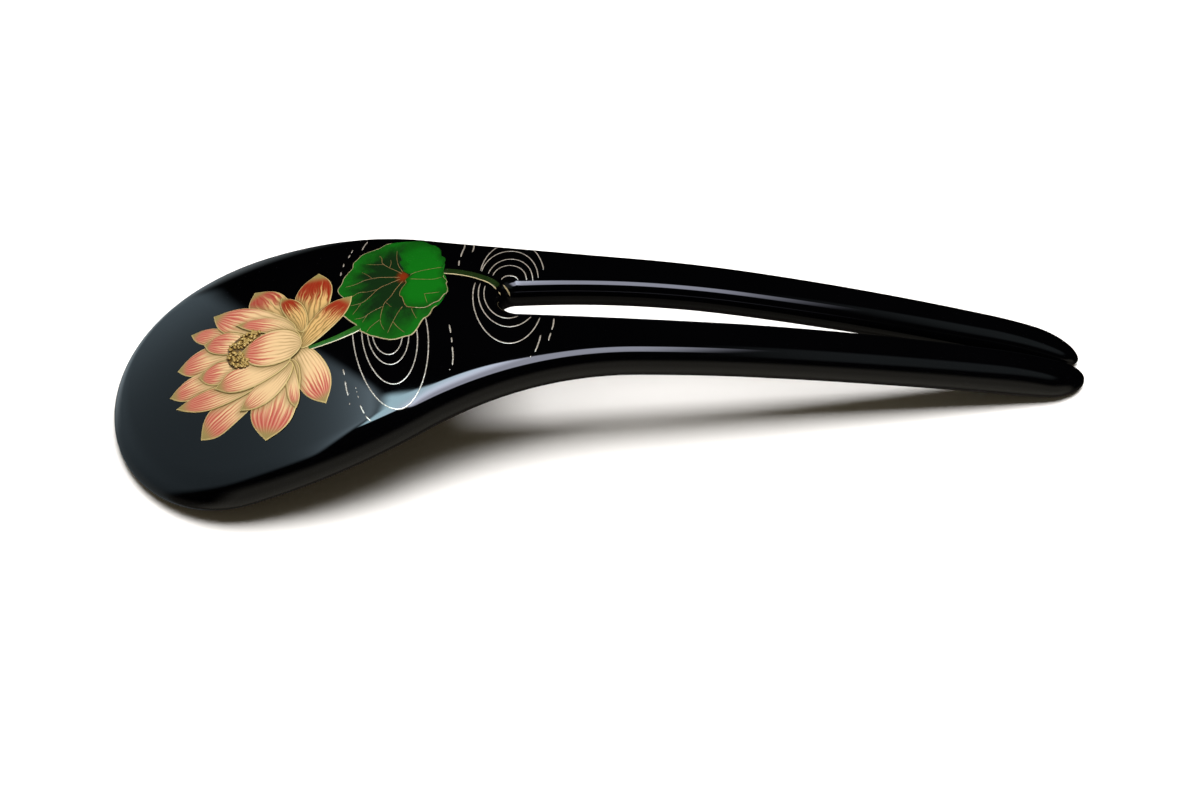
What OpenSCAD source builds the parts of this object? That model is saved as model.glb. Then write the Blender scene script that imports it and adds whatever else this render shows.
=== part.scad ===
// Two-pronged hairpin with a broad arched head, shown as it rests on a table.
// The lacquered body is one piece. A raised lotus, its leaf, their stems and
// the ripples round them lie on the head's upper face.
// Distances along the pin are taken from the head's end toward the tips.

/* [Outline from above] */
// Length from the head's end to the tips
pin_length = 144.6; // [143:0.2:147]
// Width of the head at its widest
head_width = 48.6; // [48:0.2:50]
// Length of the head's rounded end
head_round = 21.6; // [20.6:0.2:22.6]
// Radius of the bulging shoulders
shoulder_radius = 59.5; // [58:0.5:62]
// Distance at which the shoulders end
shoulder_end = 46.8; // [46:0.2:47.6]
// Radius of the hollow waist
waist_radius = 82; // [80:0.5:86]
// Distance at which the waist ends
waist_end = 77; // [76:0.5:78]
// Radius of the prongs' outer sides
prong_side_radius = 1800; // [1200:50:2400]

/* [Tips of the prongs] */
// Length over which a prong's outer side rounds in to its tip
tip_outer = 6.4; // [5:0.2:7.4]
// Length over which a prong's inner side rounds out to its tip
tip_inner = 3.2; // [2.8:0.2:4.4]
// Length over which a prong thins to its tip
tip_thin = 14; // [11:1:16]
// Place of the tip across the prong, as a share of its width from the slot
tip_place = 0.32; // [0.3:0.02:0.5]

/* [Slot between the prongs] */
// Distance of the centre of the slot's round end
slot_round_at = 60.2; // [59.8:0.2:60.6]
// Width of the slot at its widest
slot_width = 5.4; // [5.2:0.1:5.7]
// Distance at which the slot is widest
slot_wide_at = 77; // [74:0.5:80]
// Radius by which each side of the slot bows outward
slot_bow = 276; // [268:2:320]
// Distance at which the slot begins to taper evenly
slot_taper_at = 90.5; // [88:0.5:91]
// Width of the slot where its tapering sides would otherwise meet
slot_least = 0.7; // [0.6:0.05:1]

/* [Arch from the side] */
// Thickness of the body
thickness = 5.8; // [5.4:0.1:6]
// Distance of the highest point of the arch
crest_at = 48.5; // [47:0.5:50]
// Radius of the arch from its crest to the head's end
head_arch = 79.4; // [78:0.1:82]
// Radius of the arch past its crest
waist_arch = 237; // [225:1:250]
// Distance at which the prongs' flatter arch begins
prong_arch_from = 95; // [90:1:100]
// Radius of the prongs' arch
prong_arch = 541; // [480:1:700]
// Radius of the crown across the head
head_crown = 40; // [39:0.5:46]
// Radius of the crown across the prongs
prong_crown = 72; // [62:1:84]

/* [Raised ornament] */
// Height of a petal above what it lies on
petal_rise = 0.1; // [0.07:0.01:0.1]
// Height of a leaf above what it lies on
leaf_rise = 0.12; // [0.08:0.01:0.16]
// Height of a ripple line
ripple_rise = 0.09; // [0.06:0.01:0.12]
// Width of a ripple line
ripple_width = 0.24; // [0.2:0.02:0.3]
// Gap under each raised piece
seat_gap = 0.07; // [0.07:0.01:0.09]
// Gap that each further layer of petals adds
layer_gap = 0.025; // [0.025:0.005:0.035]

/* [Hidden] */
half_thick = thickness / 2;
slope_step = 0.01;
// Share of a rib's width that each rounded edge may take
edge_share = 0.42;
// Steps in each quarter-round edge, in the flat between, and of ribs
edge_steps = 4;
flat_steps = 8;
prong_ribs = 9;
fan_ribs = 24;
tip_turns = [82, 70, 56, 42, 26, 12];

black = [0.03, 0.03, 0.035];
cream = [0.93, 0.78, 0.6];
coral = [0.86, 0.42, 0.34];
red = [0.74, 0.2, 0.12];
gold = [0.72, 0.56, 0.2];
leaf_green = [0.05, 0.24, 0.1];
fold_green = [0.1, 0.42, 0.13];
stem_green = [0.12, 0.24, 0.08];
silver = [0.78, 0.76, 0.7];

// Each petal from its base to its tip; left is as seen from the base
PETAL_NAME = 0;
PETAL_BASE = 1;
PETAL_TIP = 2;
PETAL_BEND = 3;
PETAL_LEFT = 4;
PETAL_RIGHT = 5;
PETAL_WIDEST = 6;
PETAL_LAYER = 7;
PETAL_COLOUR = 8;
petals = [
    // name, base, tip, bend, width to the left, to the right, widest at, layer, colour
    ["petal_left_high", [20.8, -3.2], [12.3, 3.6], 0, 1.4, 1.8, 0.6, 0, cream],
    ["petal_back_left", [28.5, -3.3], [21.7, 8.6], 0.04, 2.5, 3, 0.6, 0, coral],
    ["petal_back_right", [30, -5.9], [31.3, 9.3], 0.02, 2.5, 3, 0.6, 1, red],
    ["petal_right", [29.8, -6.2], [36.5, 1.8], -0.02, 2.4, 1.4, 0.6, 2, red],
    ["petal_back_fold", [29.5, -3.7], [25.9, 4.8], -0.04, 1.3, 1.6, 0.55, 2, red],
    ["petal_left_long", [28.3, -3.8], [15.6, 5.8], 0.05, 2.4, 3.3, 0.56, 3, coral],
    ["petal_left_mid", [20.4, -4.2], [10.7, -3.2], 0, 2.2, 2.8, 0.55, 1, cream],
    ["petal_left_low", [20.4, -7.2], [9.8, -7.6], 0.02, 1.9, 2.2, 0.6, 2, cream],
    ["petal_low_left", [26, -10.2], [14.8, -16.2], 0, 1.8, 2.8, 0.72, 0, cream],
    ["petal_front_left", [24.7, -9.9], [10.9, -10], 0.06, 1.6, 1.8, 0.55, 3, coral],
    ["petal_under_right", [29.3, -6.5], [32.9, -16], 0.03, 2.1, 2.6, 0.55, 0, cream],
    ["petal_under_mid", [27.8, -8.1], [24.3, -19.3], -0.01, 3.2, 3.4, 0.62, 4, coral],
    ["petal_under_fold", [27.7, -8.4], [28.7, -15.9], 0, 0.8, 1, 0.66, 5, coral],
    ["petal_under_left", [28, -8.8], [20.6, -14.2], 0.05, 2, 1.7, 0.5, 6, cream],
    ["petal_inner_high", [21.9, -4.1], [14.6, -0.2], 0.02, 1.5, 2.5, 0.55, 4, coral],
    ["petal_inner_mid", [20.6, -7.6], [14.2, -6.3], 0.03, 1.6, 2.2, 0.5, 3, coral],
    ["petal_inner_low", [27.8, -8.2], [16.7, -9.4], 0.05, 1.9, 2.4, 0.58, 7, cream],
    ["petal_front_high", [29.3, -5.3], [19.4, 1.2], -0.11, 1.8, 0.9, 0.55, 9, coral],
    ["petal_front_cup", [29.4, -6.1], [20.3, -4.8], 0, 3.1, 3, 0.48, 10, cream],
];
// Steps along a petal and across it
petal_steps = 9;
petal_cross = 3;
// How full a petal is between its widest place and its tip
petal_fullness = 1.9;

// The crescent of stamens: centre, middle radius, half its breadth, ends and layer
stamen_centre = [22, -4.7];
stamen_radius = 2.5;
stamen_half = 0.9;
stamen_ends = [63, 253];
stamen_layer = 8;
stamen_rise = 0.16;
stamen_steps = 12;

// Outlines of the leaf and of its folded side: direction from the centre, distance
leaf_centre = [43.9, 5];
leaf_outline = [
    [6, 5.8], [36, 6.9], [67, 10], [79, 11.2], [102, 11.3], [114, 10.2], [126, 10.2],
    [140, 9.5], [154, 8.6], [176, 9], [189, 9.7], [205, 9.2], [220, 10.9], [233, 11.2],
    [247, 12.3], [262, 12.7], [273, 12.2], [289, 9.7], [302, 8.5], [325, 7.6], [346, 6.3],
];
fold_centre = [46.8, 5.1];
fold_outline = [
    [0, 2.7], [30, 3.1], [61, 5.6], [77, 8.2], [94, 10.7], [105, 9.9], [116, 7.9], [129, 5.3],
    [152, 3.4], [180, 1.9], [213, 3.1], [236, 5.9], [253, 7.5], [269, 7.5], [285, 6.7],
    [303, 5.7], [327, 4], [345, 3],
];
leaf_rings = [0.4, 0.72, 0.9];
leaf_sides = 40;
fold_sides = 32;
leaf_layer = 0;
fold_gap = 0.12;
// How flat a leaf is in its middle; higher is flatter
leaf_flatness = 3;

// Stems: start, end, bend, width at the start, width at the end
flower_stem = [[31, -6.6], [36.8, -4.9], -0.06, 0.45, 1.1];
leaf_stem = [[50.2, 5.8], [57.5, 2.2], 0.08, 1.4, 1.2];
stem_rise = 0.12;
stem_steps = 10;

// Ripples are parts of ellipses, drawn as fine raised lines
RIPPLE_NAME = 0;
RIPPLE_CENTRE = 1;
RIPPLE_WIDE = 2;
RIPPLE_HIGH = 3;
RIPPLE_LEAN = 4;
RIPPLE_FIRST = 5;
RIPPLE_LAST = 6;
ripples = [
    // name, centre, half width, half height, lean for each mm of height, first and last direction
    ["leaf_ripple_1", [41.6, -6.4], 2.1, 3.6, -0.08, 190, 338],
    ["leaf_ripple_2", [41.7, -6.2], 2.9, 5.4, -0.08, 185, 345],
    ["leaf_ripple_3", [41.9, -6.4], 3.9, 8.2, -0.08, 178, 357],
    ["leaf_ripple_4", [42, -6.3], 5.3, 11.8, -0.08, 180, 366],
    ["root_ripple_1", [59.2, 3.2], 1.3, 1.2, 0.04, 18, 170],
    ["root_ripple_2", [59.1, 3.3], 2.5, 3.6, 0.04, 4, 164],
    ["root_ripple_3", [59.2, 3.2], 3.3, 5.4, 0.04, 3, 163],
    ["root_ripple_4", [59.1, 3.3], 4.2, 7.6, 0.04, 5, 164],
    ["root_ripple_5", [58.9, 0.1], 4.3, 6.4, 0, 156, 317],
    ["root_ripple_6", [58.8, -0.6], 5, 8.6, 0, 156, 333],
    ["root_ripple_7", [58.7, 0.2], 3.3, 4.9, 0, 157, 298],
    ["root_ripple_8", [59.5, 3.3], 4.7, 10.3, 0.04, 116, 167],
    ["root_ripple_9", [59.5, 3.3], 4.7, 10.3, 0.04, 13, 50],
];
ripple_steps = 13;

petal_names = [for (row = petals) row[PETAL_NAME]];
ripple_names = [for (row = ripples) row[RIPPLE_NAME]];

function unit(v) = v / norm(v);
function total(v, i = 0) = i < len(v) ? v[i] + total(v, i + 1) : 0;
function bow(t) = 4 * t * (1 - t);
function eased(t) = (1 - cos(180 * t)) / 2;

// An arc begins at [distance, height, slope angle]; a radius above 0 bends it down
function arc_middle(from, radius) = from.x - radius * sin(from.z);
function arc_height(x, from, radius) =
    from.y - radius * cos(from.z)
    + sign(radius) * sqrt(radius * radius - pow(x - arc_middle(from, radius), 2));
function arc_end(x, from, radius) =
    [x, arc_height(x, from, radius), asin((x - arc_middle(from, radius)) / radius)];

// Half the width of the outline, by arcs that run on smoothly from the round head
shoulder_from = [head_round, head_width / 2, 0];
waist_from = arc_end(shoulder_end, shoulder_from, shoulder_radius);
prong_from = arc_end(waist_end, waist_from, -waist_radius);
function half_width(x) =
    x < head_round ? head_width / 2 * sqrt(max(0, 1 - pow(1 - x / head_round, 2)))
    : x < shoulder_end ? arc_height(x, shoulder_from, shoulder_radius)
    : x < waist_end ? arc_height(x, waist_from, -waist_radius)
    : arc_height(x, prong_from, prong_side_radius);
function side_slope(x) =
    (half_width(x + slope_step) - half_width(x - slope_step)) / (2 * slope_step);

// Half the width of the slot; its tapering sides even out toward the tips
slot_from = [slot_wide_at, (slot_width - slot_least * slot_least / slot_width) / 2, 0];
taper_from = arc_end(slot_taper_at, slot_from, slot_bow);
function slot_taper(x) =
    x < slot_taper_at ? arc_height(x, slot_from, slot_bow)
    : taper_from.y - tan(taper_from.z) * (x - slot_taper_at);
function slot_half(x) = (slot_taper(x) + norm([slot_taper(x), slot_least])) / 2;
function slot_slope(x) =
    (slot_half(x + slope_step) - slot_half(x - slope_step)) / (2 * slope_step);
slot_round = slot_half(slot_round_at);

// Height of the body's upper face along its middle line, below the crest
crest_from = [crest_at, 0, 0];
flatter_from = arc_end(prong_arch_from, crest_from, waist_arch);
function crest_line(x) =
    x < crest_at ? arc_height(x, crest_from, head_arch)
    : x < prong_arch_from ? arc_height(x, crest_from, waist_arch)
    : arc_height(x, flatter_from, prong_arch);
function crown_bend(x) =
    let (share = eased(max(0, min(1, (x - shoulder_end) / (waist_end - shoulder_end)))))
    (1 - share) / (2 * head_crown) + share / (2 * prong_crown);
function middle_height(p) = crest_line(p.x) - half_thick - p.y * p.y * crown_bend(p.x);

// Height of the upper face at any point, with its rounded edges
function from_side(p) = (half_width(p.x) - abs(p.y)) * cos(atan(side_slope(p.x)));
function from_slot(p) =
    p.x < slot_round_at ? norm([p.x - slot_round_at, p.y]) - slot_round
    : abs(p.y) - slot_half(p.x);
function edge_round(inset) = sqrt(1 - pow(1 - min(1, max(0, inset / half_thick)), 2));
function top_height(p) =
    middle_height(p) + half_thick * edge_round(min(from_side(p), from_slot(p)));

// A rib runs across the body: its end at the slot and the way inward from there,
// then its end at the outer side and the way inward from that
function prong_rib(x) = [
    [x, slot_half(x)], unit([-slot_slope(x), 1]),
    [x, half_width(x)], unit([side_slope(x), -1]),
];
function tip_share(x, length) = sqrt(1 - pow(max(0, 1 - (pin_length - x) / length), 2));
function tip_middle(x) = slot_half(x) + (half_width(x) - slot_half(x)) * tip_place;
function tip_rib(x) =
    let (
        middle = tip_middle(x),
        inner = (middle - slot_half(x)) * tip_share(x, tip_inner),
        outer = (half_width(x) - middle) * tip_share(x, tip_outer)
    )
    [[x, middle - inner], [0, 1], [x, middle + outer], [0, -1]];
function shoulder_point(t) =
    let (x = slot_round_at + (head_round - slot_round_at) * t)
    [[x, half_width(x)], unit([side_slope(x), -1])];
function head_point(t) =
    let (turn = 90 * t, wide = head_width / 2)
    [[head_round * (1 - sin(turn)), wide * cos(turn)],
     unit([sin(turn) / head_round, -cos(turn) / wide])];
function fan_rib(t) =
    let (
        turn = 90 + 90 * t,
        way = [cos(turn), sin(turn)],
        outer = t < 0.5 ? shoulder_point(2 * t) : head_point(2 * t - 1)
    )
    [[slot_round_at, 0] + way * slot_round, way, outer[0], outer[1]];

// The points across one rib, each with its share of the full half thickness
function bezier(a, b, c, d, t) =
    pow(1 - t, 3) * a + 3 * t * pow(1 - t, 2) * b + 3 * t * t * (1 - t) * c + pow(t, 3) * d;
function rib_points(rib) =
    let (
        width = norm(rib[2] - rib[0]),
        reach = min(half_thick, edge_share * width),
        from = rib[0] + rib[1] * reach,
        to = rib[2] + rib[3] * reach,
        handle = norm(to - from) / 3
    )
    concat(
        [for (i = [0 : edge_steps]) let (turn = 90 * i / edge_steps)
            [rib[0] + rib[1] * reach * (1 - cos(turn)), sin(turn)]],
        [for (i = [1 : flat_steps - 1])
            [bezier(from, from + rib[1] * handle, to + rib[3] * handle, to, i / flat_steps), 1]],
        [for (i = [edge_steps : -1 : 0]) let (turn = 90 * i / edge_steps)
            [rib[2] + rib[3] * reach * (1 - cos(turn)), sin(turn)]]
    );
function rib_ring(rib) =
    let (
        rise = half_thick
            * min(edge_round(norm(rib[2] - rib[0]) / 2), tip_share(rib[0].x, tip_thin)),
        across = rib_points(rib)
    )
    concat(
        [for (a = across) [a[0].x, a[0].y, middle_height(a[0]) - rise * a[1]]],
        [for (i = [len(across) - 2 : -1 : 1]) let (a = across[i])
            [a[0].x, a[0].y, middle_height(a[0]) + rise * a[1]]]
    );
function across_middle(rib) = [for (v = rib) [v.x, -v.y]];

tip_length = max(tip_outer, tip_inner, tip_thin);
prong_end = pin_length - tip_length;
far_ribs = concat(
    [for (turn = tip_turns) tip_rib(prong_end + tip_length * sin(turn))],
    [for (i = [0 : prong_ribs - 1])
        prong_rib(prong_end + (slot_round_at - prong_end) * i / prong_ribs)],
    [for (i = [0 : fan_ribs]) fan_rib(i / fan_ribs)]
);
near_ribs = [for (i = [len(far_ribs) - 2 : -1 : 0]) across_middle(far_ribs[i])];
body_rings = [for (rib = concat(far_ribs, near_ribs)) rib_ring(rib)];
lowest = min([for (ring = body_rings) for (p = ring) p.z]);

// Sets a piece down where the body rests, with the pin's middle over the origin
module seat() {
    translate([-pin_length / 2, 0, -lowest]) children();
}

// The patch between two rings is split along its shorter diagonal as seen from above,
// so that a thin piece's underside and its top are split alike
function gap_above(p, q) = norm([p.x - q.x, p.y - q.y]);
function patch(rings, i, j, next) =
    let (
        sides = len(rings[0]),
        a = 1 + i * sides + j,
        b = 1 + i * sides + next,
        c = b + sides,
        d = a + sides
    )
    gap_above(rings[i][j], rings[i + 1][next]) <= gap_above(rings[i][next], rings[i + 1][j])
    ? [[a, b, c], [a, c, d]] : [[a, b, d], [b, c, d]];

// Closed skin over rings of points, with a single point beyond each end
module skin(first, rings, last) {
    sides = len(rings[0]);
    ends = sides * len(rings) + 1;
    polyhedron(
        points = concat([first], [for (ring = rings) each ring], [last]),
        faces = concat(
            [for (j = [0 : sides - 1]) [0, 1 + (j + 1) % sides, 1 + j]],
            [for (i = [0 : len(rings) - 2]) for (j = [0 : sides - 1])
                each patch(rings, i, j, (j + 1) % sides)],
            [for (j = [0 : sides - 1])
                [ends, ends - sides + j, ends - sides + (j + 1) % sides]]
        )
    );
}

module lacquer_body() {
    across = tip_middle(pin_length);
    height = middle_height([pin_length, across]);
    color(black) seat() skin(
        [pin_length, across, height],
        body_rings,
        [pin_length, -across, height]
    );
}

// Outline distance in a direction, eased between the rows of its table
function outline_at(rows, turn) =
    let (
        n = len(rows),
        way = turn < rows[0][0] ? turn + 360 : turn,
        i = max([for (k = [0 : n - 1]) if (rows[k][0] <= way) k]),
        a = rows[i],
        b = i < n - 1 ? rows[i + 1] : [rows[0][0] + 360, rows[0][1]]
    )
    a[1] + (b[1] - a[1]) * eased((way - a[0]) / (b[0] - a[0]));
function turn_of(v) = (atan2(v.y, v.x) + 360) % 360;
function outline_share(rows, centre, p) =
    p == centre ? 0 : norm(p - centre) / outline_at(rows, turn_of(p - centre));

// How far a piece swells at a point: 0 at its outline and 1 in its middle
function leaf_swell(rows, centre, p) = 1 - pow(min(1, outline_share(rows, centre, p)), leaf_flatness);
function petal_half(row, s) =
    let (m = row[PETAL_WIDEST])
    s < m ? sqrt(max(0, 1 - pow(1 - s / m, 2))) : 1 - pow((s - m) / (1 - m), petal_fullness);
function petal_width(row, s, side) =
    (side > 0 ? row[PETAL_LEFT] : row[PETAL_RIGHT]) * petal_half(row, s);
function petal_fade(s) = 1 - pow(2 * s - 1, 4);
function petal_swell(row, p) =
    let (
        axis = row[PETAL_TIP] - row[PETAL_BASE],
        length = norm(axis),
        way = axis / length,
        from = p - row[PETAL_BASE],
        s = (from * way) / length,
        off = from * [-way.y, way.x] - row[PETAL_BEND] * length * bow(s),
        width = s > 0 && s < 1 ? petal_width(row, s, off) : 0
    )
    width <= abs(off) ? 0 : (1 - pow(off / width, 2)) * petal_fade(s);
function stamen_swell(p) =
    let (
        away = p - stamen_centre,
        along = (turn_of(away) - stamen_ends[0]) / (stamen_ends[1] - stamen_ends[0]),
        off = (norm(away) - stamen_radius) / stamen_half
    )
    along <= 0 || along >= 1 || abs(off) >= 1 ? 0 : (1 - off * off) * petal_fade(along);

// Height of a layer's underside over the body and all that lies beneath the layer
function layer_height(p, layer) =
    let (
        leaf = layer > leaf_layer
            ? (leaf_rise + layer_gap) * leaf_swell(leaf_outline, leaf_centre, p) : 0,
        crescent = layer > stamen_layer ? (stamen_rise + layer_gap) * stamen_swell(p) : 0,
        lower = [for (row = petals) if (row[PETAL_LAYER] < layer) petal_swell(row, p)]
    )
    top_height(p) + seat_gap + layer * layer_gap + leaf + crescent
    + (petal_rise + layer_gap) * total(lower);

// Lens-shaped ring across a band: underside from left to right, then back over the top
function lens_ring(points, bases, rises) =
    concat(
        [for (i = [0 : len(points) - 1]) [points[i].x, points[i].y, bases[i]]],
        [for (i = [len(points) - 2 : -1 : 1])
            [points[i].x, points[i].y, bases[i] + rises[i]]]
    );

function petal_point(row, s, q) =
    let (axis = row[PETAL_TIP] - row[PETAL_BASE], way = unit(axis))
    row[PETAL_BASE] + axis * s
    + [-way.y, way.x] * (row[PETAL_BEND] * norm(axis) * bow(s) + q * petal_width(row, s, q));
function petal_ring(row, s) =
    let (
        qs = [for (j = [petal_cross : -1 : -petal_cross]) j / petal_cross],
        points = [for (q = qs) petal_point(row, s, q)]
    )
    lens_ring(
        points,
        [for (p = points) layer_height(p, row[PETAL_LAYER])],
        [for (q = qs) petal_rise * (1 - q * q) * petal_fade(s)]
    );
function petal_end(row, s) =
    let (p = petal_point(row, s, 0)) [p.x, p.y, layer_height(p, row[PETAL_LAYER])];

module petal(row) {
    color(row[PETAL_COLOUR]) seat() skin(
        petal_end(row, 0),
        [for (i = [0.3, each [1 : petal_steps - 1]]) petal_ring(row, i / petal_steps)],
        petal_end(row, 1)
    );
}

function stamen_point(t, q) =
    let (turn = stamen_ends[0] + (stamen_ends[1] - stamen_ends[0]) * t)
    stamen_centre + (stamen_radius + q * stamen_half * petal_fade(t)) * [cos(turn), sin(turn)];
function stamen_ring(t) =
    let (
        qs = [-1, -0.5, 0, 0.5, 1],
        points = [for (q = qs) stamen_point(t, q)]
    )
    lens_ring(
        points,
        [for (p = points) layer_height(p, stamen_layer)],
        [for (q = qs) stamen_rise * (1 - q * q) * petal_fade(t)]
    );
function stamen_end(t) =
    let (p = stamen_point(t, 0)) [p.x, p.y, layer_height(p, stamen_layer)];

module stamens() {
    color(gold) seat() skin(
        stamen_end(0),
        [for (i = [1 : stamen_steps - 1]) stamen_ring(i / stamen_steps)],
        stamen_end(1)
    );
}

// A leaf's rings run outward along its underside and back over its top
function leaf_height(p) = top_height(p) + seat_gap;
function fold_height(p) =
    leaf_height(p) + fold_gap + leaf_rise * leaf_swell(leaf_outline, leaf_centre, p);
function blade_ring(rows, centre, sides, share, lift, on_leaf) =
    [for (i = [0 : sides - 1])
        let (
            turn = 360 * (1 - (i + 1) / sides),
            p = centre + share * outline_at(rows, turn) * [cos(turn), sin(turn)]
        )
        [p.x, p.y, (on_leaf ? fold_height(p) : leaf_height(p)) + lift * (1 - pow(share, leaf_flatness))]];
module blade(rows, centre, sides, on_leaf) {
    base = on_leaf ? fold_height(centre) : leaf_height(centre);
    seat() skin(
        [centre.x, centre.y, base],
        concat(
            [for (share = leaf_rings) blade_ring(rows, centre, sides, share, 0, on_leaf)],
            [blade_ring(rows, centre, sides, 1, 0, on_leaf)],
            [for (i = [len(leaf_rings) - 1 : -1 : 0])
                blade_ring(rows, centre, sides, leaf_rings[i], leaf_rise, on_leaf)]
        ),
        [centre.x, centre.y, base + leaf_rise]
    );
}

module leaf() {
    color(leaf_green) blade(leaf_outline, leaf_centre, leaf_sides, false);
}

module leaf_fold() {
    color(fold_green) blade(fold_outline, fold_centre, fold_sides, true);
}

// Ribbon with a lens-shaped section along a line of points and half widths
function ribbon_ring(p, way, half, rise) =
    let (
        side = [-way.y, way.x] * half,
        points = [p + side, p, p - side]
    )
    lens_ring(points, [for (v = points) top_height(v) + seat_gap], [0, rise, 0]);
function on_body(p) = [p.x, p.y, top_height(p) + seat_gap];

module stem(row) {
    axis = row[1] - row[0];
    way = unit(axis);
    across = [-way.y, way.x] * row[2] * norm(axis);
    color(stem_green) seat() skin(
        on_body(row[0]),
        [for (i = [0.3, each [1 : stem_steps - 1], stem_steps - 0.3])
            let (
                t = i / stem_steps,
                half = (row[3] + (row[4] - row[3]) * t) / 2,
                tangent = unit(axis + across * 4 * (1 - 2 * t))
            )
            ribbon_ring(row[0] + axis * t + across * bow(t), tangent, half, stem_rise)],
        on_body(row[1])
    );
}

module ripple(row) {
    wide = row[RIPPLE_WIDE];
    high = row[RIPPLE_HIGH];
    lean = row[RIPPLE_LEAN];
    function point(turn) =
        row[RIPPLE_CENTRE] + [wide * cos(turn) + lean * high * sin(turn), high * sin(turn)];
    function way(turn) = unit([lean * high * cos(turn) - wide * sin(turn), high * cos(turn)]);
    function turn_at(i) =
        row[RIPPLE_FIRST] + (row[RIPPLE_LAST] - row[RIPPLE_FIRST]) * i / ripple_steps;
    color(silver) seat() skin(
        on_body(point(turn_at(0))),
        [for (i = [1 : ripple_steps - 1])
            ribbon_ring(point(turn_at(i)), way(turn_at(i)), ripple_width / 2, ripple_rise)],
        on_body(point(turn_at(ripple_steps)))
    );
}

lacquer_body();
leaf();
leaf_fold();
stem(leaf_stem);
stem(flower_stem);
stamens();
for (row = petals) petal(row);
for (row = ripples) ripple(row);
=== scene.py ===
import math

import bmesh
import bpy
import numpy as np
from mathutils import Matrix, Vector


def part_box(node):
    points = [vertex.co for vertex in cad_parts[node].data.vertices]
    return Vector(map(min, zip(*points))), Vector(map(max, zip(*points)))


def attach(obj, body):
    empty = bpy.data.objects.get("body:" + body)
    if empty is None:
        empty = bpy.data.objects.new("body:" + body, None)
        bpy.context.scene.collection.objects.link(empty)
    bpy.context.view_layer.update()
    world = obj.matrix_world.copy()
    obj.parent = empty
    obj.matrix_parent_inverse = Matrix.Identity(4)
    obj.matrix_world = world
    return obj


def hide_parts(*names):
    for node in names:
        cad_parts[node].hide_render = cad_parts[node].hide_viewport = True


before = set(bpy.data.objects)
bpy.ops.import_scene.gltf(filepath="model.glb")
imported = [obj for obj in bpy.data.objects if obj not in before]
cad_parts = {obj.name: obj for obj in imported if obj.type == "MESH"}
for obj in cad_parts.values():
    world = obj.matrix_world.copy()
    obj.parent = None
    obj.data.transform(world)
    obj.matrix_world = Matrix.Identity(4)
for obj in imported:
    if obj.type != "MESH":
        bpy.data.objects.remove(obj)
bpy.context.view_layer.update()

mm = 0.001
pinLow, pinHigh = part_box("lacquer_body")
print("frame loaded, pin is", round((pinHigh.x - pinLow.x) / mm, 1), "mm long")


# helpers for meshes: points are in mm, x from the head's end, y across, z below the crest

def addPiece(name, points, faces, material, slotName, nodes=None, values=None):
    places = np.asarray(points, float) * mm + np.array([pinLow.x, 0, pinHigh.z])
    mesh = bpy.data.meshes.new(name)
    mesh.from_pydata([tuple(p) for p in places], [], faces)
    shape = bmesh.new()
    shape.from_mesh(mesh)
    bmesh.ops.recalc_face_normals(shape, faces=shape.faces)
    shape.to_mesh(mesh)
    shape.free()
    for key, numbers in (values or {}).items():
        layer = mesh.attributes.new(key, "FLOAT", "POINT")
        layer.data.foreach_set("value", np.asarray(numbers, np.float32))
    mesh.shade_smooth()
    mesh.materials.append(material)
    piece = bpy.data.objects.new(name, mesh)
    bpy.context.scene.collection.objects.link(piece)
    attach(piece, "root")
    if nodes:
        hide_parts(*nodes)
    return piece


def closedSkin(first, rings, last):
    # one point, then rings of points, then one point
    count, size = len(rings), len(rings[0])
    faces = [(0, 1 + (j + 1) % size, 1 + j) for j in range(size)]
    for i in range(count - 1):
        row = 1 + i * size
        for j in range(size):
            k = (j + 1) % size
            faces.append((row + j, row + k, row + size + k, row + size + j))
    end = 1 + count * size
    faces += [(end, end - size + j, end - size + (j + 1) % size) for j in range(size)]
    return np.vstack([first, *rings, last]), faces


def unit(v):
    v = np.asarray(v, float)
    return v / np.linalg.norm(v)


def wayOf(turns):
    turns = np.radians(turns)
    return np.column_stack([np.cos(turns), np.sin(turns)])


def edgeRound(share):
    # height of a quarter round, from 0 at the edge to 1 where it ends
    return np.sqrt(1 - (1 - np.clip(share, 0, 1)) ** 2)


def nearest(flat, outline):
    return np.linalg.norm(flat[..., None, :] - outline, axis=-1).min(-1)


def reliefRings(flat, top, base, under, sunk):
    # rings over a relief and back below it, at a few of the same places
    over = np.concatenate([flat, top[..., None]], -1)
    below = np.concatenate([flat, (base - sunk)[..., None]], -1)
    return np.concatenate([over, below[:, under]], axis=1)


# the body: an arched bar with a round head, split by the slot into two prongs

body = {
    "headRound": 21.6,       # length of the round end
    "shoulderRadius": 59.5, "shoulderEnd": 46.8,
    "waistRadius": 82, "waistEnd": 77, "prongSideRadius": 1800,
    "tipOuter": 6.4, "tipInner": 3.2, "tipThin": 14, "tipPlace": 0.32, "lastTipTurn": 87,
    "slotRoundAt": 60.2, "slotWidth": 5.4, "slotWideAt": 77, "slotBow": 276, "slotTaperAt": 90.5,
    "slotLeast": 0.7,
    "thickness": 5.8,
    "crestAt": 48.5, "headArch": 79.4, "waistArch": 237, "prongArchFrom": 95, "prongArch": 541,
    "headCrown": 40, "prongCrown": 72,
    "edgeShare": 0.42,       # most of a rib's width that one rounded edge takes
    "edgeSteps": 14, "flatSteps": 26, "tipSteps": 30, "prongSteps": 96, "fanSteps": 110,
    # the slot's wall dims between these heights: painted shade, made by lowering the lacquer's gloss
    "dimBelow": (0.98, 0.78), "dimAbove": (0.4, 0.15),   # heights between which the slot's wall dims
}
pinLength = (pinHigh.x - pinLow.x) / mm
headHalf = (pinHigh.y - pinLow.y) / mm / 2
halfThick = body["thickness"] / 2


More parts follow.
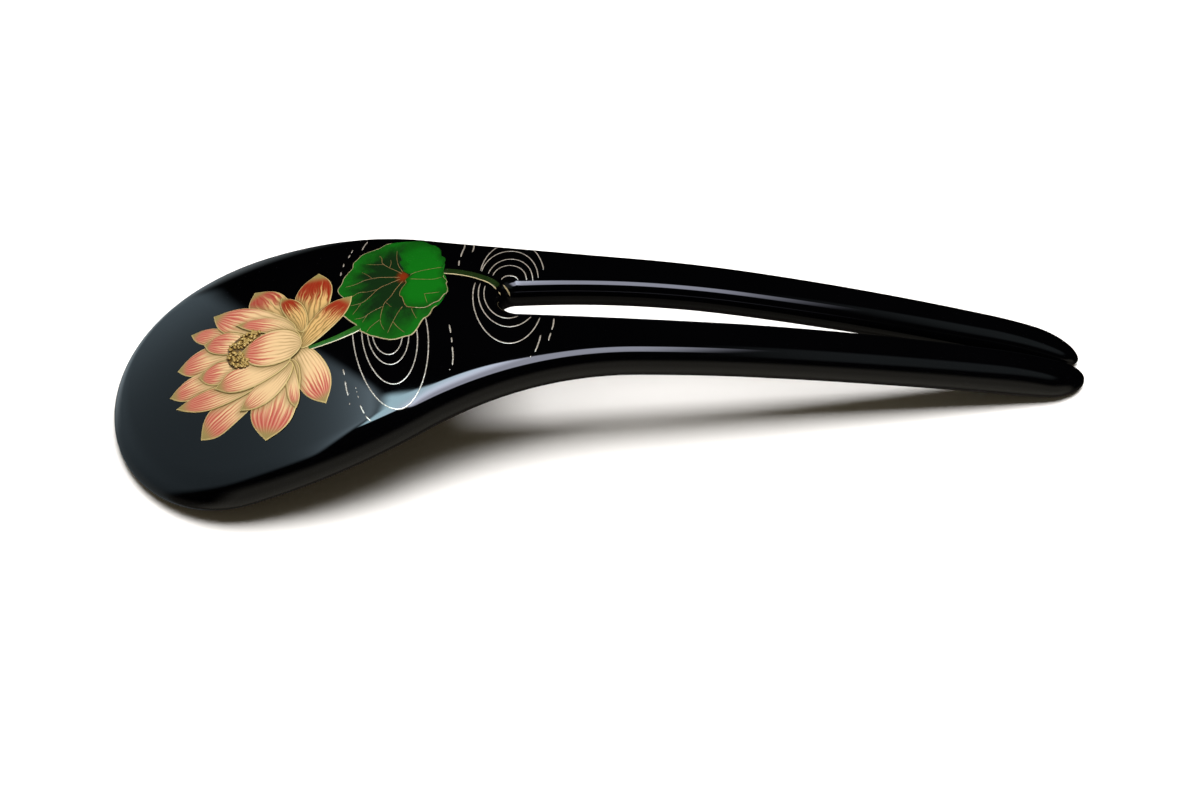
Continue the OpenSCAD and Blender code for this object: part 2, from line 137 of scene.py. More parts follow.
def arcHeight(x, start, radius):
    # an arc leaves the start point (x, height, slope angle) with this radius
    middle = start[0] - radius * math.sin(start[2])
    room = np.maximum(0, radius * radius - (x - middle) ** 2)
    return start[1] - radius * math.cos(start[2]) + math.copysign(1, radius) * np.sqrt(room)


def arcEnd(x, start, radius):
    middle = start[0] - radius * math.sin(start[2])
    return (x, float(arcHeight(x, start, radius)), math.asin((x - middle) / radius))


shoulderFrom = (body["headRound"], headHalf, 0)
waistFrom = arcEnd(body["shoulderEnd"], shoulderFrom, body["shoulderRadius"])
prongFrom = arcEnd(body["waistEnd"], waistFrom, -body["waistRadius"])
slotFrom = (body["slotWideAt"], (body["slotWidth"] - body["slotLeast"] ** 2 / body["slotWidth"]) / 2, 0)
taperFrom = arcEnd(body["slotTaperAt"], slotFrom, body["slotBow"])
crestFrom = (body["crestAt"], 0, 0)
flatterFrom = arcEnd(body["prongArchFrom"], crestFrom, body["waistArch"])


def halfWidth(x):
    x = np.asarray(x, float)
    head = headHalf * np.sqrt(np.maximum(0, 1 - (1 - x / body["headRound"]) ** 2))
    shoulder = arcHeight(x, shoulderFrom, body["shoulderRadius"])
    waist = arcHeight(x, waistFrom, -body["waistRadius"])
    prong = arcHeight(x, prongFrom, body["prongSideRadius"])
    return np.where(x < body["headRound"], head, np.where(x < body["shoulderEnd"], shoulder,
                    np.where(x < body["waistEnd"], waist, prong)))


def slotHalf(x):
    x = np.asarray(x, float)
    taper = taperFrom[1] - math.tan(taperFrom[2]) * (x - body["slotTaperAt"])
    taper = np.where(x < body["slotTaperAt"], arcHeight(x, slotFrom, body["slotBow"]), taper)
    return (taper + np.hypot(taper, body["slotLeast"])) / 2


slotRound = float(slotHalf(body["slotRoundAt"]))


def slopeOf(shape, x, step=0.01):
    return (shape(x + step) - shape(x - step)) / (2 * step)


def crownBend(x):
    share = np.clip((x - body["shoulderEnd"]) / (body["waistEnd"] - body["shoulderEnd"]), 0, 1)
    share = (1 - np.cos(math.pi * share)) / 2
    return (1 - share) / (2 * body["headCrown"]) + share / (2 * body["prongCrown"])


def middleHeight(x, y):
    line = np.where(x < body["crestAt"], arcHeight(x, crestFrom, body["headArch"]),
                    np.where(x < body["prongArchFrom"], arcHeight(x, crestFrom, body["waistArch"]),
                             arcHeight(x, flatterFrom, body["prongArch"])))
    return line - halfThick - y * y * crownBend(x)


def bodyTop(x, y):
    # height of the lacquer's upper face, with its rounded edges
    x, y = np.asarray(x, float), np.asarray(y, float)
    fromSide = (halfWidth(x) - abs(y)) * np.cos(np.arctan(slopeOf(halfWidth, x)))
    roundEnd = np.hypot(x - body["slotRoundAt"], y) - slotRound
    fromSlot = np.where(x < body["slotRoundAt"], roundEnd, abs(y) - slotHalf(x))
    return middleHeight(x, y) + halfThick * edgeRound(np.minimum(fromSide, fromSlot) / halfThick)


# a rib is its inner end, the way inward there, its outer end and the way inward there

def prongRib(x):
    return ((x, float(slotHalf(x))), unit((-slopeOf(slotHalf, x), 1)),
            (x, float(halfWidth(x))), unit((slopeOf(halfWidth, x), -1)))


def tipShare(x, length):
    return math.sqrt(max(0, 1 - max(0, 1 - (pinLength - x) / length) ** 2))


def tipMiddle(x):
    return float(slotHalf(x) + (halfWidth(x) - slotHalf(x)) * body["tipPlace"])


def tipRib(x):
    middle = tipMiddle(x)
    inner = (middle - float(slotHalf(x))) * tipShare(x, body["tipInner"])
    outer = (float(halfWidth(x)) - middle) * tipShare(x, body["tipOuter"])
    return ((x, middle - inner), (0, 1), (x, middle + outer), (0, -1))


def fanRib(t):
    # the fan turns from across the slot's root (t = 0) to the middle of the head (t = 1)
    turn = math.pi / 2 * (1 + t)
    way = np.array([math.cos(turn), math.sin(turn)])
    if t < 0.5:
        x = body["slotRoundAt"] + (body["headRound"] - body["slotRoundAt"]) * 2 * t
        outer, inward = (x, float(halfWidth(x))), unit((slopeOf(halfWidth, x), -1))
    else:
        turn = math.pi / 2 * (2 * t - 1)
        outer = (body["headRound"] * (1 - math.sin(turn)), headHalf * math.cos(turn))
        inward = unit((math.sin(turn) / body["headRound"], -math.cos(turn) / headHalf))
    return (np.array([body["slotRoundAt"], 0]) + way * slotRound, way, outer, inward)


def ribRing(rib):
    a, inA, b, inB = (np.asarray(v, float) for v in rib)
    width = np.linalg.norm(b - a)
    reach = min(halfThick, body["edgeShare"] * width)
    start, end = a + inA * reach, b + inB * reach
    handle = np.linalg.norm(end - start) / 3
    turns = np.linspace(0, math.pi / 2, body["edgeSteps"] + 1)
    across = [(a + inA * reach * (1 - math.cos(t)), math.sin(t)) for t in turns]
    for i in range(1, body["flatSteps"]):
        t = i / body["flatSteps"]
        p = ((1 - t) ** 3 * start + 3 * t * (1 - t) ** 2 * (start + inA * handle)
             + 3 * t * t * (1 - t) * (end + inB * handle) + t ** 3 * end)
        across.append((p, 1))
    across += [(b + inB * reach * (1 - math.cos(t)), math.sin(t)) for t in turns[::-1]]
    rise = halfThick * min(float(edgeRound(width / 2 / halfThick)), tipShare(float(a[0]), body["tipThin"]))
    flat = np.array([p for p, share in across])
    shares = np.array([share for p, share in across])
    middle = middleHeight(flat[:, 0], flat[:, 1])
    under = np.column_stack([flat, middle - rise * shares])
    over = np.column_stack([flat, middle + rise * shares])[-2:0:-1]
    return np.vstack([under, over])


def paintedSlotShade():
    # for each point of a ring: 1 on the wall that faces the other prong, where painted shade stands in for
    # the dark that prong keeps it in
    level = np.sin(np.linspace(0, math.pi / 2, body["edgeSteps"] + 1))
    under, over = (np.clip((out - level) / (out - full), 0, 1)
                   for out, full in (body["dimBelow"], body["dimAbove"]))
    rest = 2 * (body["edgeSteps"] + body["flatSteps"]) - 1
    return np.concatenate([under, np.zeros(rest), over[:0:-1]])


def makeBody(material):
    tipLength = max(body["tipOuter"], body["tipInner"], body["tipThin"])
    prongEnd = pinLength - tipLength
    lastTurn = math.radians(body["lastTipTurn"])
    turns = [lastTurn * (1 - i / body["tipSteps"]) for i in range(body["tipSteps"])]
    tips = [tipRib(prongEnd + tipLength * math.sin(turn)) for turn in turns]
    steps = np.linspace(prongEnd, body["slotRoundAt"], body["prongSteps"], endpoint=False)
    fans = [fanRib(i / body["fanSteps"]) for i in range(body["fanSteps"] + 1)]
    ribs = tips + [prongRib(x) for x in steps] + fans
    mirrored = [tuple(np.asarray(v, float) * (1, -1) for v in rib) for rib in ribs[-2::-1]]
    rings = [ribRing(rib) for rib in ribs + mirrored]
    tipY = tipMiddle(pinLength)
    tip = np.array([pinLength, tipY, float(middleHeight(pinLength, tipY))])
    shade = np.concatenate([[1], np.tile(paintedSlotShade(), len(rings)), [1]])
    return addPiece("lacquered_body", *closedSkin(tip, rings, tip * (1, -1, 1)), material,
                    "black_lacquer", ["lacquer_body"], {"inSlot": shade})


# node helpers for the finishes; a grain is its scale, detail and roughness, a relief its strength and depth

def plug(socket, value):
    if isinstance(value, bpy.types.NodeSocket):
        socket.id_data.links.new(value, socket)
    else:
        socket.default_value = (*value, 1) if socket.type == "RGBA" else value


def addNode(tree, kind, inputs=None, **settings):
    node = tree.nodes.new("ShaderNode" + kind)
    for key, value in settings.items():
        setattr(node, key, value)
    for key, value in (inputs or {}).items():
        plug(node.inputs[key], value)
    return node


def emptyTree(owner):
    owner.use_nodes = True
    owner.node_tree.nodes.clear()
    return owner.node_tree


def newFinish(name):
    material = bpy.data.materials.new(name)
    tree = emptyTree(material)
    shader = addNode(tree, "BsdfPrincipled")
    addNode(tree, "OutputMaterial", {"Surface": shader.outputs["BSDF"]})
    return material, tree, shader


def treeOf(values):
    return next(value.id_data for value in values if isinstance(value, bpy.types.NodeSocket))


def calc(operation, *values):
    return addNode(treeOf(values), "Math", dict(enumerate(values)), operation=operation).outputs[0]


def times(*factors):
    product = factors[0]
    for factor in factors[1:]:
        product = calc("MULTIPLY", product, factor)
    return product


def plus(a, b):
    return calc("ADD", a, b)


def minus(a, b):
    return calc("SUBTRACT", a, b)


def swing(grain, size):
    # a grain between 0 and 1, made to swing to both sides of 0
    return times(minus(grain, 0.5), size)


def ease(value, low, high, toLow=0.0, toHigh=1.0):
    limits = {"Value": value, "From Min": low, "From Max": high, "To Min": toLow, "To Max": toHigh}
    return addNode(value.id_data, "MapRange", limits, interpolation_type="SMOOTHSTEP").outputs["Result"]


def mixColour(share, a, b, way="MIX"):
    kind = {"data_type": "RGBA", "blend_type": way, "clamp_factor": way == "MIX"}
    node = addNode(share.id_data, "Mix", {0: share}, **kind)
    plug(node.inputs[6], a)
    plug(node.inputs[7], b)
    return node.outputs[2]


def fromMesh(tree, key):
    return addNode(tree, "Attribute", attribute_name=key).outputs["Fac"]


def joinVector(x, y, z):
    return addNode(treeOf((x, y, z)), "CombineXYZ", {0: x, 1: y, 2: z}).outputs[0]


def grainOf(tree, scale, detail=2.0, rough=0.5, vector=None):
    if vector is None:
        vector = addNode(tree, "TexCoord").outputs["Object"]
    inputs = {"Vector": vector, "Scale": scale, "Detail": detail, "Roughness": rough}
    return addNode(tree, "TexNoise", inputs).outputs["Fac"]


def addBump(shader, height, strength, distance):
    inputs = {"Strength": strength, "Distance": distance, "Height": height}
    node = addNode(shader.id_data, "Bump", inputs)
    plug(shader.inputs["Normal"], node.outputs["Normal"])


def coat(shader, colour, grain, rough, specular=0.5, metal=0.0, span=(0.3, 0.7)):
    # the roughness follows the grain between two values
    for key, value in (("Base Color", colour), ("Roughness", ease(grain, *span, *rough)),
                       ("Specular IOR Level", specular), ("Metallic", metal)):
        plug(shader.inputs[key], value)


# the finishes

lacquer = {
    "black": (0.0002, 0.0002, 0.0003), "depth": (0.0006, 0.0006, 0.0008),
    "rough": (0.035, 0.05),      # where it is best polished and where it is not
    "gloss": 1.52,
    # the lower gloss inside the slot is painted shade for the other prong, which hides what that wall would
    # mirror
    "specular": (0.5, 0.12),     # in the open and inside the slot
    "cloud": (60, 4, 0.55), "rubbing": (900, 3, 0.6), "rubbed": (0.1, 0.5),
    "waves": (140, 2, 0.4), "relief": (0.03, 0.00002),
}


def blackLacquer():
    material, tree, shader = newFinish("blackLacquer")
    cloud = grainOf(tree, *lacquer["cloud"])
    rubbed = times(cloud, grainOf(tree, *lacquer["rubbing"]))
    # the gloss is lowered on the slot's wall: painted shade
    coat(shader, mixColour(cloud, lacquer["black"], lacquer["depth"]), rubbed, lacquer["rough"],
         ease(fromMesh(tree, "inSlot"), 0, 1, *lacquer["specular"]), span=lacquer["rubbed"])
    shader.inputs["IOR"].default_value = lacquer["gloss"]
    addBump(shader, grainOf(tree, *lacquer["waves"]), *lacquer["relief"])
    return material


petalPaint = {
    "cream": (0.48, 0.34, 0.18), "tan": (0.41, 0.26, 0.1),
    "rose": (0.32, 0.086, 0.063), "redTip": (0.155, 0.006, 0.0015), "orange": (0.24, 0.036, 0.01),
    "roseLine": (0.26, 0.028, 0.024), "paleLine": (0.5, 0.33, 0.2),
    "oliveLine": (0.1, 0.068, 0.018), "underShade": (0.16, 0.12, 0.045),
    "tipGold": (0.17, 0.15, 0.05), "gold": (0.4, 0.31, 0.13),
    "lines": 9.4, "fewerWhereWarm": 2.6,              # drawn strokes across a petal
    "rough": (0.4, 0.52), "specular": 0.15, "outlineMetal": 0.2,
    "enamel": (4200, 2), "relief": (0.35, 0.00003), "outlineGrain": (2600, 1), "outlineShare": 0.9,
    "wander": (2.2, 2), "reach": (2.6, 1), "soft": (1.4, 2),
    "start": 0.9, "earlier": 0.6, "ragged": 0.95,     # where the wash starts, by its blush
    "footLine": (0.36, 0.46),
}
petalFades = {  # the values between which each part of the drawing sets in, and how strong it gets
    "warm": (0.35, 0.85), "crook": (0.2, 0.8, 0.2, 0.55), "stroke": (0.86, 0.22),
    "wash": (0.03, 0.24, 0.0, 0.95), "flame": (-0.02, 0.14), "deepLine": (-0.1, 0.12, 0.0, 0.68),
    "gap": (0.84, 0.99), "gapWhereCool": (0.6, 0.3, 0.0, 0.32), "foot": (0.56, 0.2),
    "beside": (1.3, 0.1, 0.0, 0.58), "outline": (0.15, 0.09),    # in mm
    "seam": (0.2, 0.08, 0.0, 0.75), "rimShade": (0.6, 0.1, 0.0, 0.22),
    "heartShade": (0.3, 0.0, 0.0, 0.35), "tipGold": (0.81, 0.95, 0.0, 0.88),
}


def petalLacquer():
    material, tree, shader = newFinish("petalLacquer")
    along, across, rim, cover = (fromMesh(tree, key) for key in ("along", "across", "rim", "cover"))
    warmth, blush, seed = (fromMesh(tree, key) for key in ("warmth", "blush", "seed"))
    paint = petalPaint

    def fade(value, key):
        return ease(value, *petalFades[key])

    def ownGrain(key, sideways, lengthwise):
        # a grain that is another one on each petal
        return grainOf(tree, *paint[key], vector=joinVector(sideways, lengthwise, seed))

    # strokes run with the petal; each has its own length and strength
    warm = fade(warmth, "warm")
    wander = ownGrain("wander", across, times(along, 2.0))
    bent = plus(across, swing(wander, fade(warmth, "crook")))
    count = minus(paint["lines"], times(warmth, paint["fewerWhereWarm"]))
    comb = calc("ABSOLUTE", calc("SINE", times(bent, count, math.pi / 2)))
    stroke = fade(comb, "stroke")
    reach = ownGrain("reach", times(bent, count, 0.5), 0.0)
    soft = ownGrain("soft", across, times(along, 2.5))
    # the wash of colour deepens toward the tip and starts raggedly
    ragged = minus(along, swing(reach, paint["ragged"]))
    pastStart = minus(ragged, minus(paint["start"], times(blush, paint["earlier"])))
    wash = fade(plus(pastStart, swing(warm, 0.06)), "wash")
    flame = mixColour(fade(pastStart, "flame"), paint["orange"], paint["redTip"])
    washTint = mixColour(warm, paint["rose"], flame)
    lineTint = mixColour(warm, paint["roseLine"], paint["redTip"])
    deepLine = times(stroke, fade(pastStart, "deepLine"))
    paleGap = times(fade(comb, "gap"), fade(warmth, "gapWhereCool"))
    foot = fade(minus(ragged, times(warmth, 0.22)), "foot")
    footLine = times(stroke, foot, calc("MULTIPLY_ADD", warmth, *paint["footLine"]))
    # olive shading beside the petals that lie over this one, and a gold outline
    beside = fade(plus(cover, times(soft, 0.3)), "beside")
    drawn = fade(plus(rim, swing(grainOf(tree, *paint["outlineGrain"]), 0.06)), "outline")
    coats = [
        (wash, washTint), (deepLine, lineTint),
        (paleGap, paint["paleLine"]), (footLine, paint["oliveLine"]),
        (beside, paint["underShade"]),
        (fade(along, "heartShade"), paint["underShade"]),
        (fade(cover, "seam"), paint["oliveLine"]),
        (fade(rim, "rimShade"), paint["underShade"]),
        (fade(along, "tipGold"), paint["tipGold"]),
        (times(drawn, paint["outlineShare"]), paint["gold"]),
    ]
    colour = mixColour(warm, paint["cream"], paint["tan"])
    for share, tint in coats:
        colour = mixColour(share, colour, tint)
    metal = times(drawn, paint["outlineMetal"])
    coat(shader, colour, soft, paint["rough"], paint["specular"], metal, (0.2, 0.8))
    addBump(shader, plus(times(stroke, 0.6), grainOf(tree, *paint["enamel"])), *paint["relief"])
    return material


leafPaint = {
    "dark": (0.0035, 0.013, 0.0035), "green": (0.004, 0.05, 0.004), "bright": (0.004, 0.082, 0.005),
    "heart": (0.11, 0.014, 0.003),
    "foldGreen": (0.003, 0.078, 0.004), "foldShade": (0.003, 0.04, 0.003),
    "rough": (0.08, 0.14), "specular": 0.3,
    "patches": (3.0, 3, 0.6), "foldPatches": (260, 3, 0.6), "polish": (700, 3), "enamel": (1800, 2),
    "relief": (0.15, 0.00002),
    "toGreen": (0.5, 0.9), "toBright": (0.8, 1.15), "toHeart": (0.16, 0.03), "outwardSwing": 0.9,
    "toFoldGreen": (1.15, 0.6), "foldSwing": 0.8,
}


def leafColour(tree, share):
    # dark by the heart, with patches that reach outward, and bright at the rim
    turn = fromMesh(tree, "turn")
    place = joinVector(calc("COSINE", turn), calc("SINE", turn), share)
    patch = grainOf(tree, *leafPaint["patches"], place)
    outward = plus(share, swing(patch, leafPaint["outwardSwing"]))
    colour = mixColour(ease(outward, *leafPaint["toGreen"]), leafPaint["dark"], leafPaint["green"])
    colour = mixColour(ease(outward, *leafPaint["toBright"]), colour, leafPaint["bright"])
    return mixColour(ease(share, *leafPaint["toHeart"]), colour, leafPaint["heart"]), patch


def foldColour(tree, share):
    patch = grainOf(tree, *leafPaint["foldPatches"])
    lit = ease(plus(share, swing(patch, leafPaint["foldSwing"])), *leafPaint["toFoldGreen"])
    return mixColour(lit, leafPaint["foldShade"], leafPaint["foldGreen"]), patch


def leafLacquer(name, colourOf):
    material, tree, shader = newFinish(name)
    colour, patch = colourOf(tree, fromMesh(tree, "share"))
    coat(shader, colour, grainOf(tree, *leafPaint["polish"]), leafPaint["rough"], leafPaint["specular"])
    addBump(shader, plus(patch, grainOf(tree, *leafPaint["enamel"])), *leafPaint["relief"])
    return material


powders = {
    "veinGold": {"light": (0.22, 0.13, 0.05), "dark": (0.1, 0.055, 0.018),
                 "metal": 0.25, "rough": (0.4, 0.6), "relief": (0.4, 0.00004)},
    "edgeGold": {"light": (0.46, 0.38, 0.22), "dark": (0.2, 0.16, 0.07),
                 "metal": 0.4, "rough": (0.36, 0.56), "relief": (0.4, 0.00004)},
    "silverPowder": {"light": (0.56, 0.51, 0.44), "dark": (0.3, 0.265, 0.22),
                     "metal": 0.6, "rough": (0.16, 0.36), "relief": (0.15, 0.00004)},
    "specks": (5200, 2, 0.7), "drifts": (700, 2, 0.5), "speckShare": 0.7, "driftShare": 0.3,
    "toLight": (0.35, 0.6),
}


def metalPowder(name):
    # sprinkled powder: grains of two tones, glinting unevenly
    powder = powders[name]
    material, tree, shader = newFinish(name)
    speck, drift = (grainOf(tree, *powders[key]) for key in ("specks", "drifts"))
    tone = plus(times(speck, powders["speckShare"]), times(drift, powders["driftShare"]))
    colour = mixColour(ease(tone, *powders["toLight"]), powder["dark"], powder["light"])
    coat(shader, colour, speck, powder["rough"], metal=powder["metal"])
    addBump(shader, speck, *powder["relief"])
    return material


stemPaint = {
    "flower": {"dark": (0.008, 0.045, 0.006), "green": (0.016, 0.085, 0.01), "pale": (0.55, 0.52, 0.36)},
    "leaf": {"dark": (0.004, 0.009, 0.002), "green": (0.008, 0.019, 0.004), "pale": (0.36, 0.3, 0.17)},
    "paleEdge": (-0.62, -0.77), "rough": (0.18, 0.3), "specular": 0.4,
    "patches": (900, 2, 0.6), "relief": (0.2, 0.00003),
}


def stemLacquer(kind):
    # green, with a pale line along its near side
    paint = stemPaint[kind]
    material, tree, shader = newFinish(kind + "StemLacquer")
    patch = grainOf(tree, *stemPaint["patches"])
    lit = ease(plus(fromMesh(tree, "across"), times(patch, 0.2)), *stemPaint["paleEdge"])
    colour = mixColour(lit, mixColour(patch, paint["dark"], paint["green"]), paint["pale"])
    coat(shader, colour, patch, stemPaint["rough"], stemPaint["specular"])
    addBump(shader, patch, *stemPaint["relief"])
    return material


anthers = {
    "brown": (0.075, 0.043, 0.01), "amber": (0.16, 0.09, 0.018), "pale": (0.35, 0.235, 0.07),
    "rough": (0.28, 0.42), "specks": (3200, 2, 0.6), "relief": (0.3, 0.00003),
    "toPale": (0.7, 1.05), "toAmber": (0.25, 0.7), "metal": (0.2, 0.7, 0.0, 0.35),
}


def antherGold():
    # painted highlight on top of each grain and painted shade on its lower side; dark between the grains
    material, tree, shader = newFinish("antherGold")
    speck = grainOf(tree, *anthers["specks"])
    lit = plus(fromMesh(tree, "crest"), swing(speck, 0.5))
    gold = mixColour(ease(lit, *anthers["toPale"]), anthers["amber"], anthers["pale"])
    colour = mixColour(ease(lit, *anthers["toAmber"]), anthers["brown"], gold)
    coat(shader, colour, speck, anthers["rough"], metal=ease(lit, *anthers["metal"]))
    addBump(shader, speck, *anthers["relief"])
    return material


# lines painted in relief: a rounded ribbon along a path, laid on a surface

def smoothPath(knots, step):
    knots = np.asarray(knots, float)
    if len(knots) == 2:
        count = max(3, int(np.linalg.norm(knots[1] - knots[0]) / step))
        return knots[0] + (knots[1] - knots[0]) * np.linspace(0, 1, count)[:, None]
    padded = np.vstack([2 * knots[0] - knots[1], knots, 2 * knots[-1] - knots[-2]])
    out = []
    for i in range(1, len(padded) - 2):
        p0, p1, p2, p3 = padded[i - 1:i + 3]
        count = max(2, int(np.linalg.norm(p2 - p1) / step))
        for t in np.arange(count) / count:
            out.append(0.5 * (2 * p1 + (p2 - p0) * t + (2 * p0 - 5 * p1 + 4 * p2 - p3) * t * t
                              + (3 * p1 - p0 - 3 * p2 + p3) * t ** 3))
    return np.array(out + [padded[-2]])


def ribbon(path, halfAt, rise, surface, sides, taper, sunk=0.03):
    # returns the points of rings along the path, and how far across each one lies
    path = np.asarray(path, float)
    ways = np.gradient(path, axis=0)
    ways /= np.linalg.norm(ways, axis=1)[:, None]
    normals = np.column_stack([-ways[:, 1], ways[:, 0]])
    length = np.concatenate([[0], np.cumsum(np.linalg.norm(np.diff(path, axis=0), axis=1))])
    ends = np.clip(np.minimum(length, length[-1] - length) / taper, 0, 1)
    halves = halfAt(length / length[-1]) * np.sqrt(ends)
    turns = np.linspace(0, math.pi, sides + 1)
    side = np.cos(turns)
    rings = []
    for i in range(1, len(path) - 1):
        flat = path[i] + normals[i] * (side * halves[i])[:, None]
        lift = rise * np.sin(turns) * math.sqrt(ends[i])
        top = np.column_stack([flat, surface(flat[:, 0], flat[:, 1]) + lift])
        rings.append(np.vstack([top, np.append(path[i], float(surface(*path[i])) - sunk)]))
    first, last = (np.append(p, float(surface(*p))) for p in (path[0], path[-1]))
    across = np.concatenate([[0], np.tile(np.append(side, 0), len(rings)), [0]])
    return *closedSkin(first, rings, last), across


def evenWidth(width):
    return lambda share: np.full_like(share, width / 2)


def layLines(name, ribbons, material, slotName, nodes=None):
    # joins ribbons into one piece
    faces, start = [], 0
    for points, ribbonFaces, across in ribbons:
        faces += [tuple(i + start for i in face) for face in ribbonFaces]
        start += len(points)
    return addPiece(name, np.vstack([r[0] for r in ribbons]), faces, material, slotName, nodes)


# the lotus: petals and the crescent of stamens

flower = {
    "wall": 0.05, "bevel": 0.12, "dome": 0.09,     # relief of one petal in mm
    "bead": 0.016, "beadAt": 0.13, "beadWidth": 0.07,
    "layerGap": 0.035, "stack": 0.12, "stamenStack": 0.2, "sunk": 0.012,
    "fullness": 2.3, "point": 0.34, "pointFrom": 9,      # how full a petal stays, and its drawn-in tip
    "alongSteps": 80, "acrossSteps": 44, "outlineSteps": 260, "coverSteps": 110,
    "farAway": 9.0,                                # gap that stands for no petal above
}
petalColumns = ("name", "base", "tip", "bend", "left", "right", "widest", "layer", "warmth", "blush")
petalRows = [
    ("petal_left_high", (20.8, -3.2), (12.3, 3.6), 0, 1.4, 1.8, 0.6, 0, 0.1, 0.75),
    ("petal_back_left", (28.5, -3.3), (21.7, 8.6), 0.04, 2.5, 3, 0.6, 0, 0.62, 0.62),
    ("petal_back_right", (30, -5.9), (31.3, 9.3), 0.02, 2.5, 3, 0.6, 1, 0.88, 0.72),
    ("petal_right", (29.3, -6.6), (36.5, 1.8), -0.02, 2.4, 1.4, 0.6, 2, 0.85, 0.68),
    ("petal_back_fold", (29.5, -3.7), (25.9, 4.8), -0.04, 1.3, 1.6, 0.55, 2, 0.95, 0.72),
    ("petal_left_long", (28.3, -3.8), (15.6, 5.8), 0.05, 2.4, 3.3, 0.56, 3, 0.3, 0.62),
    ("petal_left_mid", (20.4, -4.2), (10.7, -3.2), 0, 2.2, 2.8, 0.55, 1, 0.05, 0.72),
    ("petal_left_low", (20.4, -7.2), (9.8, -7.6), 0.02, 1.9, 2.2, 0.6, 2, 0.05, 0.55),
    ("petal_low_left", (26, -10.2), (14.8, -16.2), 0, 1.8, 2.8, 0.72, 0, 0.05, 0.62),
    ("petal_front_left", (24.7, -9.9), (10.9, -10), 0.06, 1.6, 1.8, 0.55, 3, 0.1, 0.72),
    ("petal_under_right", (28.6, -6), (32.9, -16), 0.03, 2.1, 2.6, 0.55, 0, 0.12, 0.62),
    ("petal_under_mid", (27.8, -8.1), (24.3, -19.3), -0.01, 3.2, 3.4, 0.62, 4, 0.05, 0.62),
    ("petal_under_fold", (27.7, -8.4), (28.7, -15.9), 0, 0.8, 1, 0.66, 5, 0.2, 0.55),
    ("petal_under_left", (28, -8.8), (20.6, -14.2), 0.05, 2, 1.7, 0.5, 6, 0.05, 0.42),
    ("petal_inner_high", (21.9, -4.1), (14.6, -0.2), 0.02, 1.5, 2.5, 0.55, 4, 0.12, 0.85),
    ("petal_inner_mid", (20.6, -7.6), (14.2, -6.3), 0.03, 1.6, 2.2, 0.5, 3, 0.08, 0.85),
    ("petal_inner_low", (27.8, -8.2), (16.7, -9.4), 0.05, 1.9, 2.4, 0.58, 7, 0.02, 0.48),
    ("petal_front_high", (29.3, -5.3), (19.4, 1.2), -0.11, 1.8, 0.9, 0.55, 9, 0.2, 0.8),
    ("petal_front_cup", (29.4, -6.1), (20.3, -4.8), 0, 3.1, 3, 0.48, 10, 0, 0.66),
]
petals = [dict(zip(petalColumns, row)) for row in petalRows]
stamenPatch = {
    "centre": (22, -4.7), "radius": 2.45, "half": 1.1, "ends": (58, 268), "layer": 8,
    "padSteps": 50, "padAcross": 13, "padHeight": 0.12,
    "grains": 135, "grainSize": (0.2, 0.32), "stretch": (0.75, 1.5), "flatness": 0.8, "knobs": 0.14,
    "seed": 7, "seated": (0.1, 0.35),              # height of a grain's middle, and more for its size
}


def fadeEnds(s):
    return 1 - (2 * s - 1) ** 4


def petalHalf(petal, s):
    widest = petal["widest"]
    low = np.sqrt(np.clip(1 - (1 - s / widest) ** 2, 0, 1))
    outward = np.clip(s - widest, 0, 1) / (1 - widest)
    high = (1 - outward ** flower["fullness"]) * (1 - flower["point"] * outward ** flower["pointFrom"])
    return np.where(s < widest, low, high)


def petalAxis(petal):
    base = np.array(petal["base"], float)
    axis = np.array(petal["tip"], float) - base
    way = unit(axis)
    return base, np.linalg.norm(axis), way, np.array([-way[1], way[0]])


def petalPoint(petal, s, q):
    # s runs from the foot to the tip, q from one side (-1) to the other
    base, length, way, side = petalAxis(petal)
    width = np.where(q > 0, petal["left"], petal["right"]) * petalHalf(petal, s)
    off = petal["bend"] * length * 4 * s * (1 - s) + q * width
    return base + (s * length)[..., None] * way + off[..., None] * side


def petalOutline(petal, count):
    s = np.linspace(0, 1, count)
    return np.vstack([petalPoint(petal, s, np.full(count, q)) for q in (1.0, -1.0)])


def petalSwell(petal, x, y):
    # 0 at the petal's outline and beyond it, 1 in its middle
    base, length, way, side = petalAxis(petal)
    fromBase = np.stack([x - base[0], y - base[1]], -1)
    s = fromBase @ way / length
    inside = np.clip(s, 0, 1)
    off = fromBase @ side - petal["bend"] * length * 4 * inside * (1 - inside)
    width = np.where(off > 0, petal["left"], petal["right"]) * petalHalf(petal, inside)
    q = np.abs(off) / np.maximum(width, 1e-6)
    return np.where((s <= 0) | (s >= 1) | (q >= 1), 0, (1 - q * q) * fadeEnds(inside))


def stamenSwell(x, y):
    awayX, awayY = x - stamenPatch["centre"][0], y - stamenPatch["centre"][1]
    low, high = stamenPatch["ends"]
    along = (np.degrees(np.arctan2(awayY, awayX)) % 360 - low) / (high - low)
    off = (np.hypot(awayX, awayY) - stamenPatch["radius"]) / stamenPatch["half"]
    return np.where((along <= 0) | (along >= 1) | (abs(off) >= 1), 0, (1 - off * off) * fadeEnds(along))


def layerHeight(x, y, layer):
    # the ground of a layer follows the lacquer, the leaf and every layer below
    height = bodyTop(x, y) + layer * flower["layerGap"]
    if layer > 0:
        height = height + (leafShape["wall"] + leafShape["dome"]) * bladeSwell(leafBlade, x, y)
    if layer > stamenPatch["layer"]:
        height = height + flower["stamenStack"] * stamenSwell(x, y)
    for petal in petals:
        if petal["layer"] < layer:
            height = height + flower["stack"] * petalSwell(petal, x, y)
    return height


def onLayer(p, layer):
    return [*p, float(layerHeight(*p, layer))]


def coverGap(petal, flat):
    # distance in mm from each point to the nearest petal that lies over this one
    gap = np.full(flat.shape[:-1], flower["farAway"])
    for other in petals:
        if other["layer"] > petal["layer"]:
            gap = np.minimum(gap, nearest(flat, petalOutline(other, flower["coverSteps"])))
    return gap


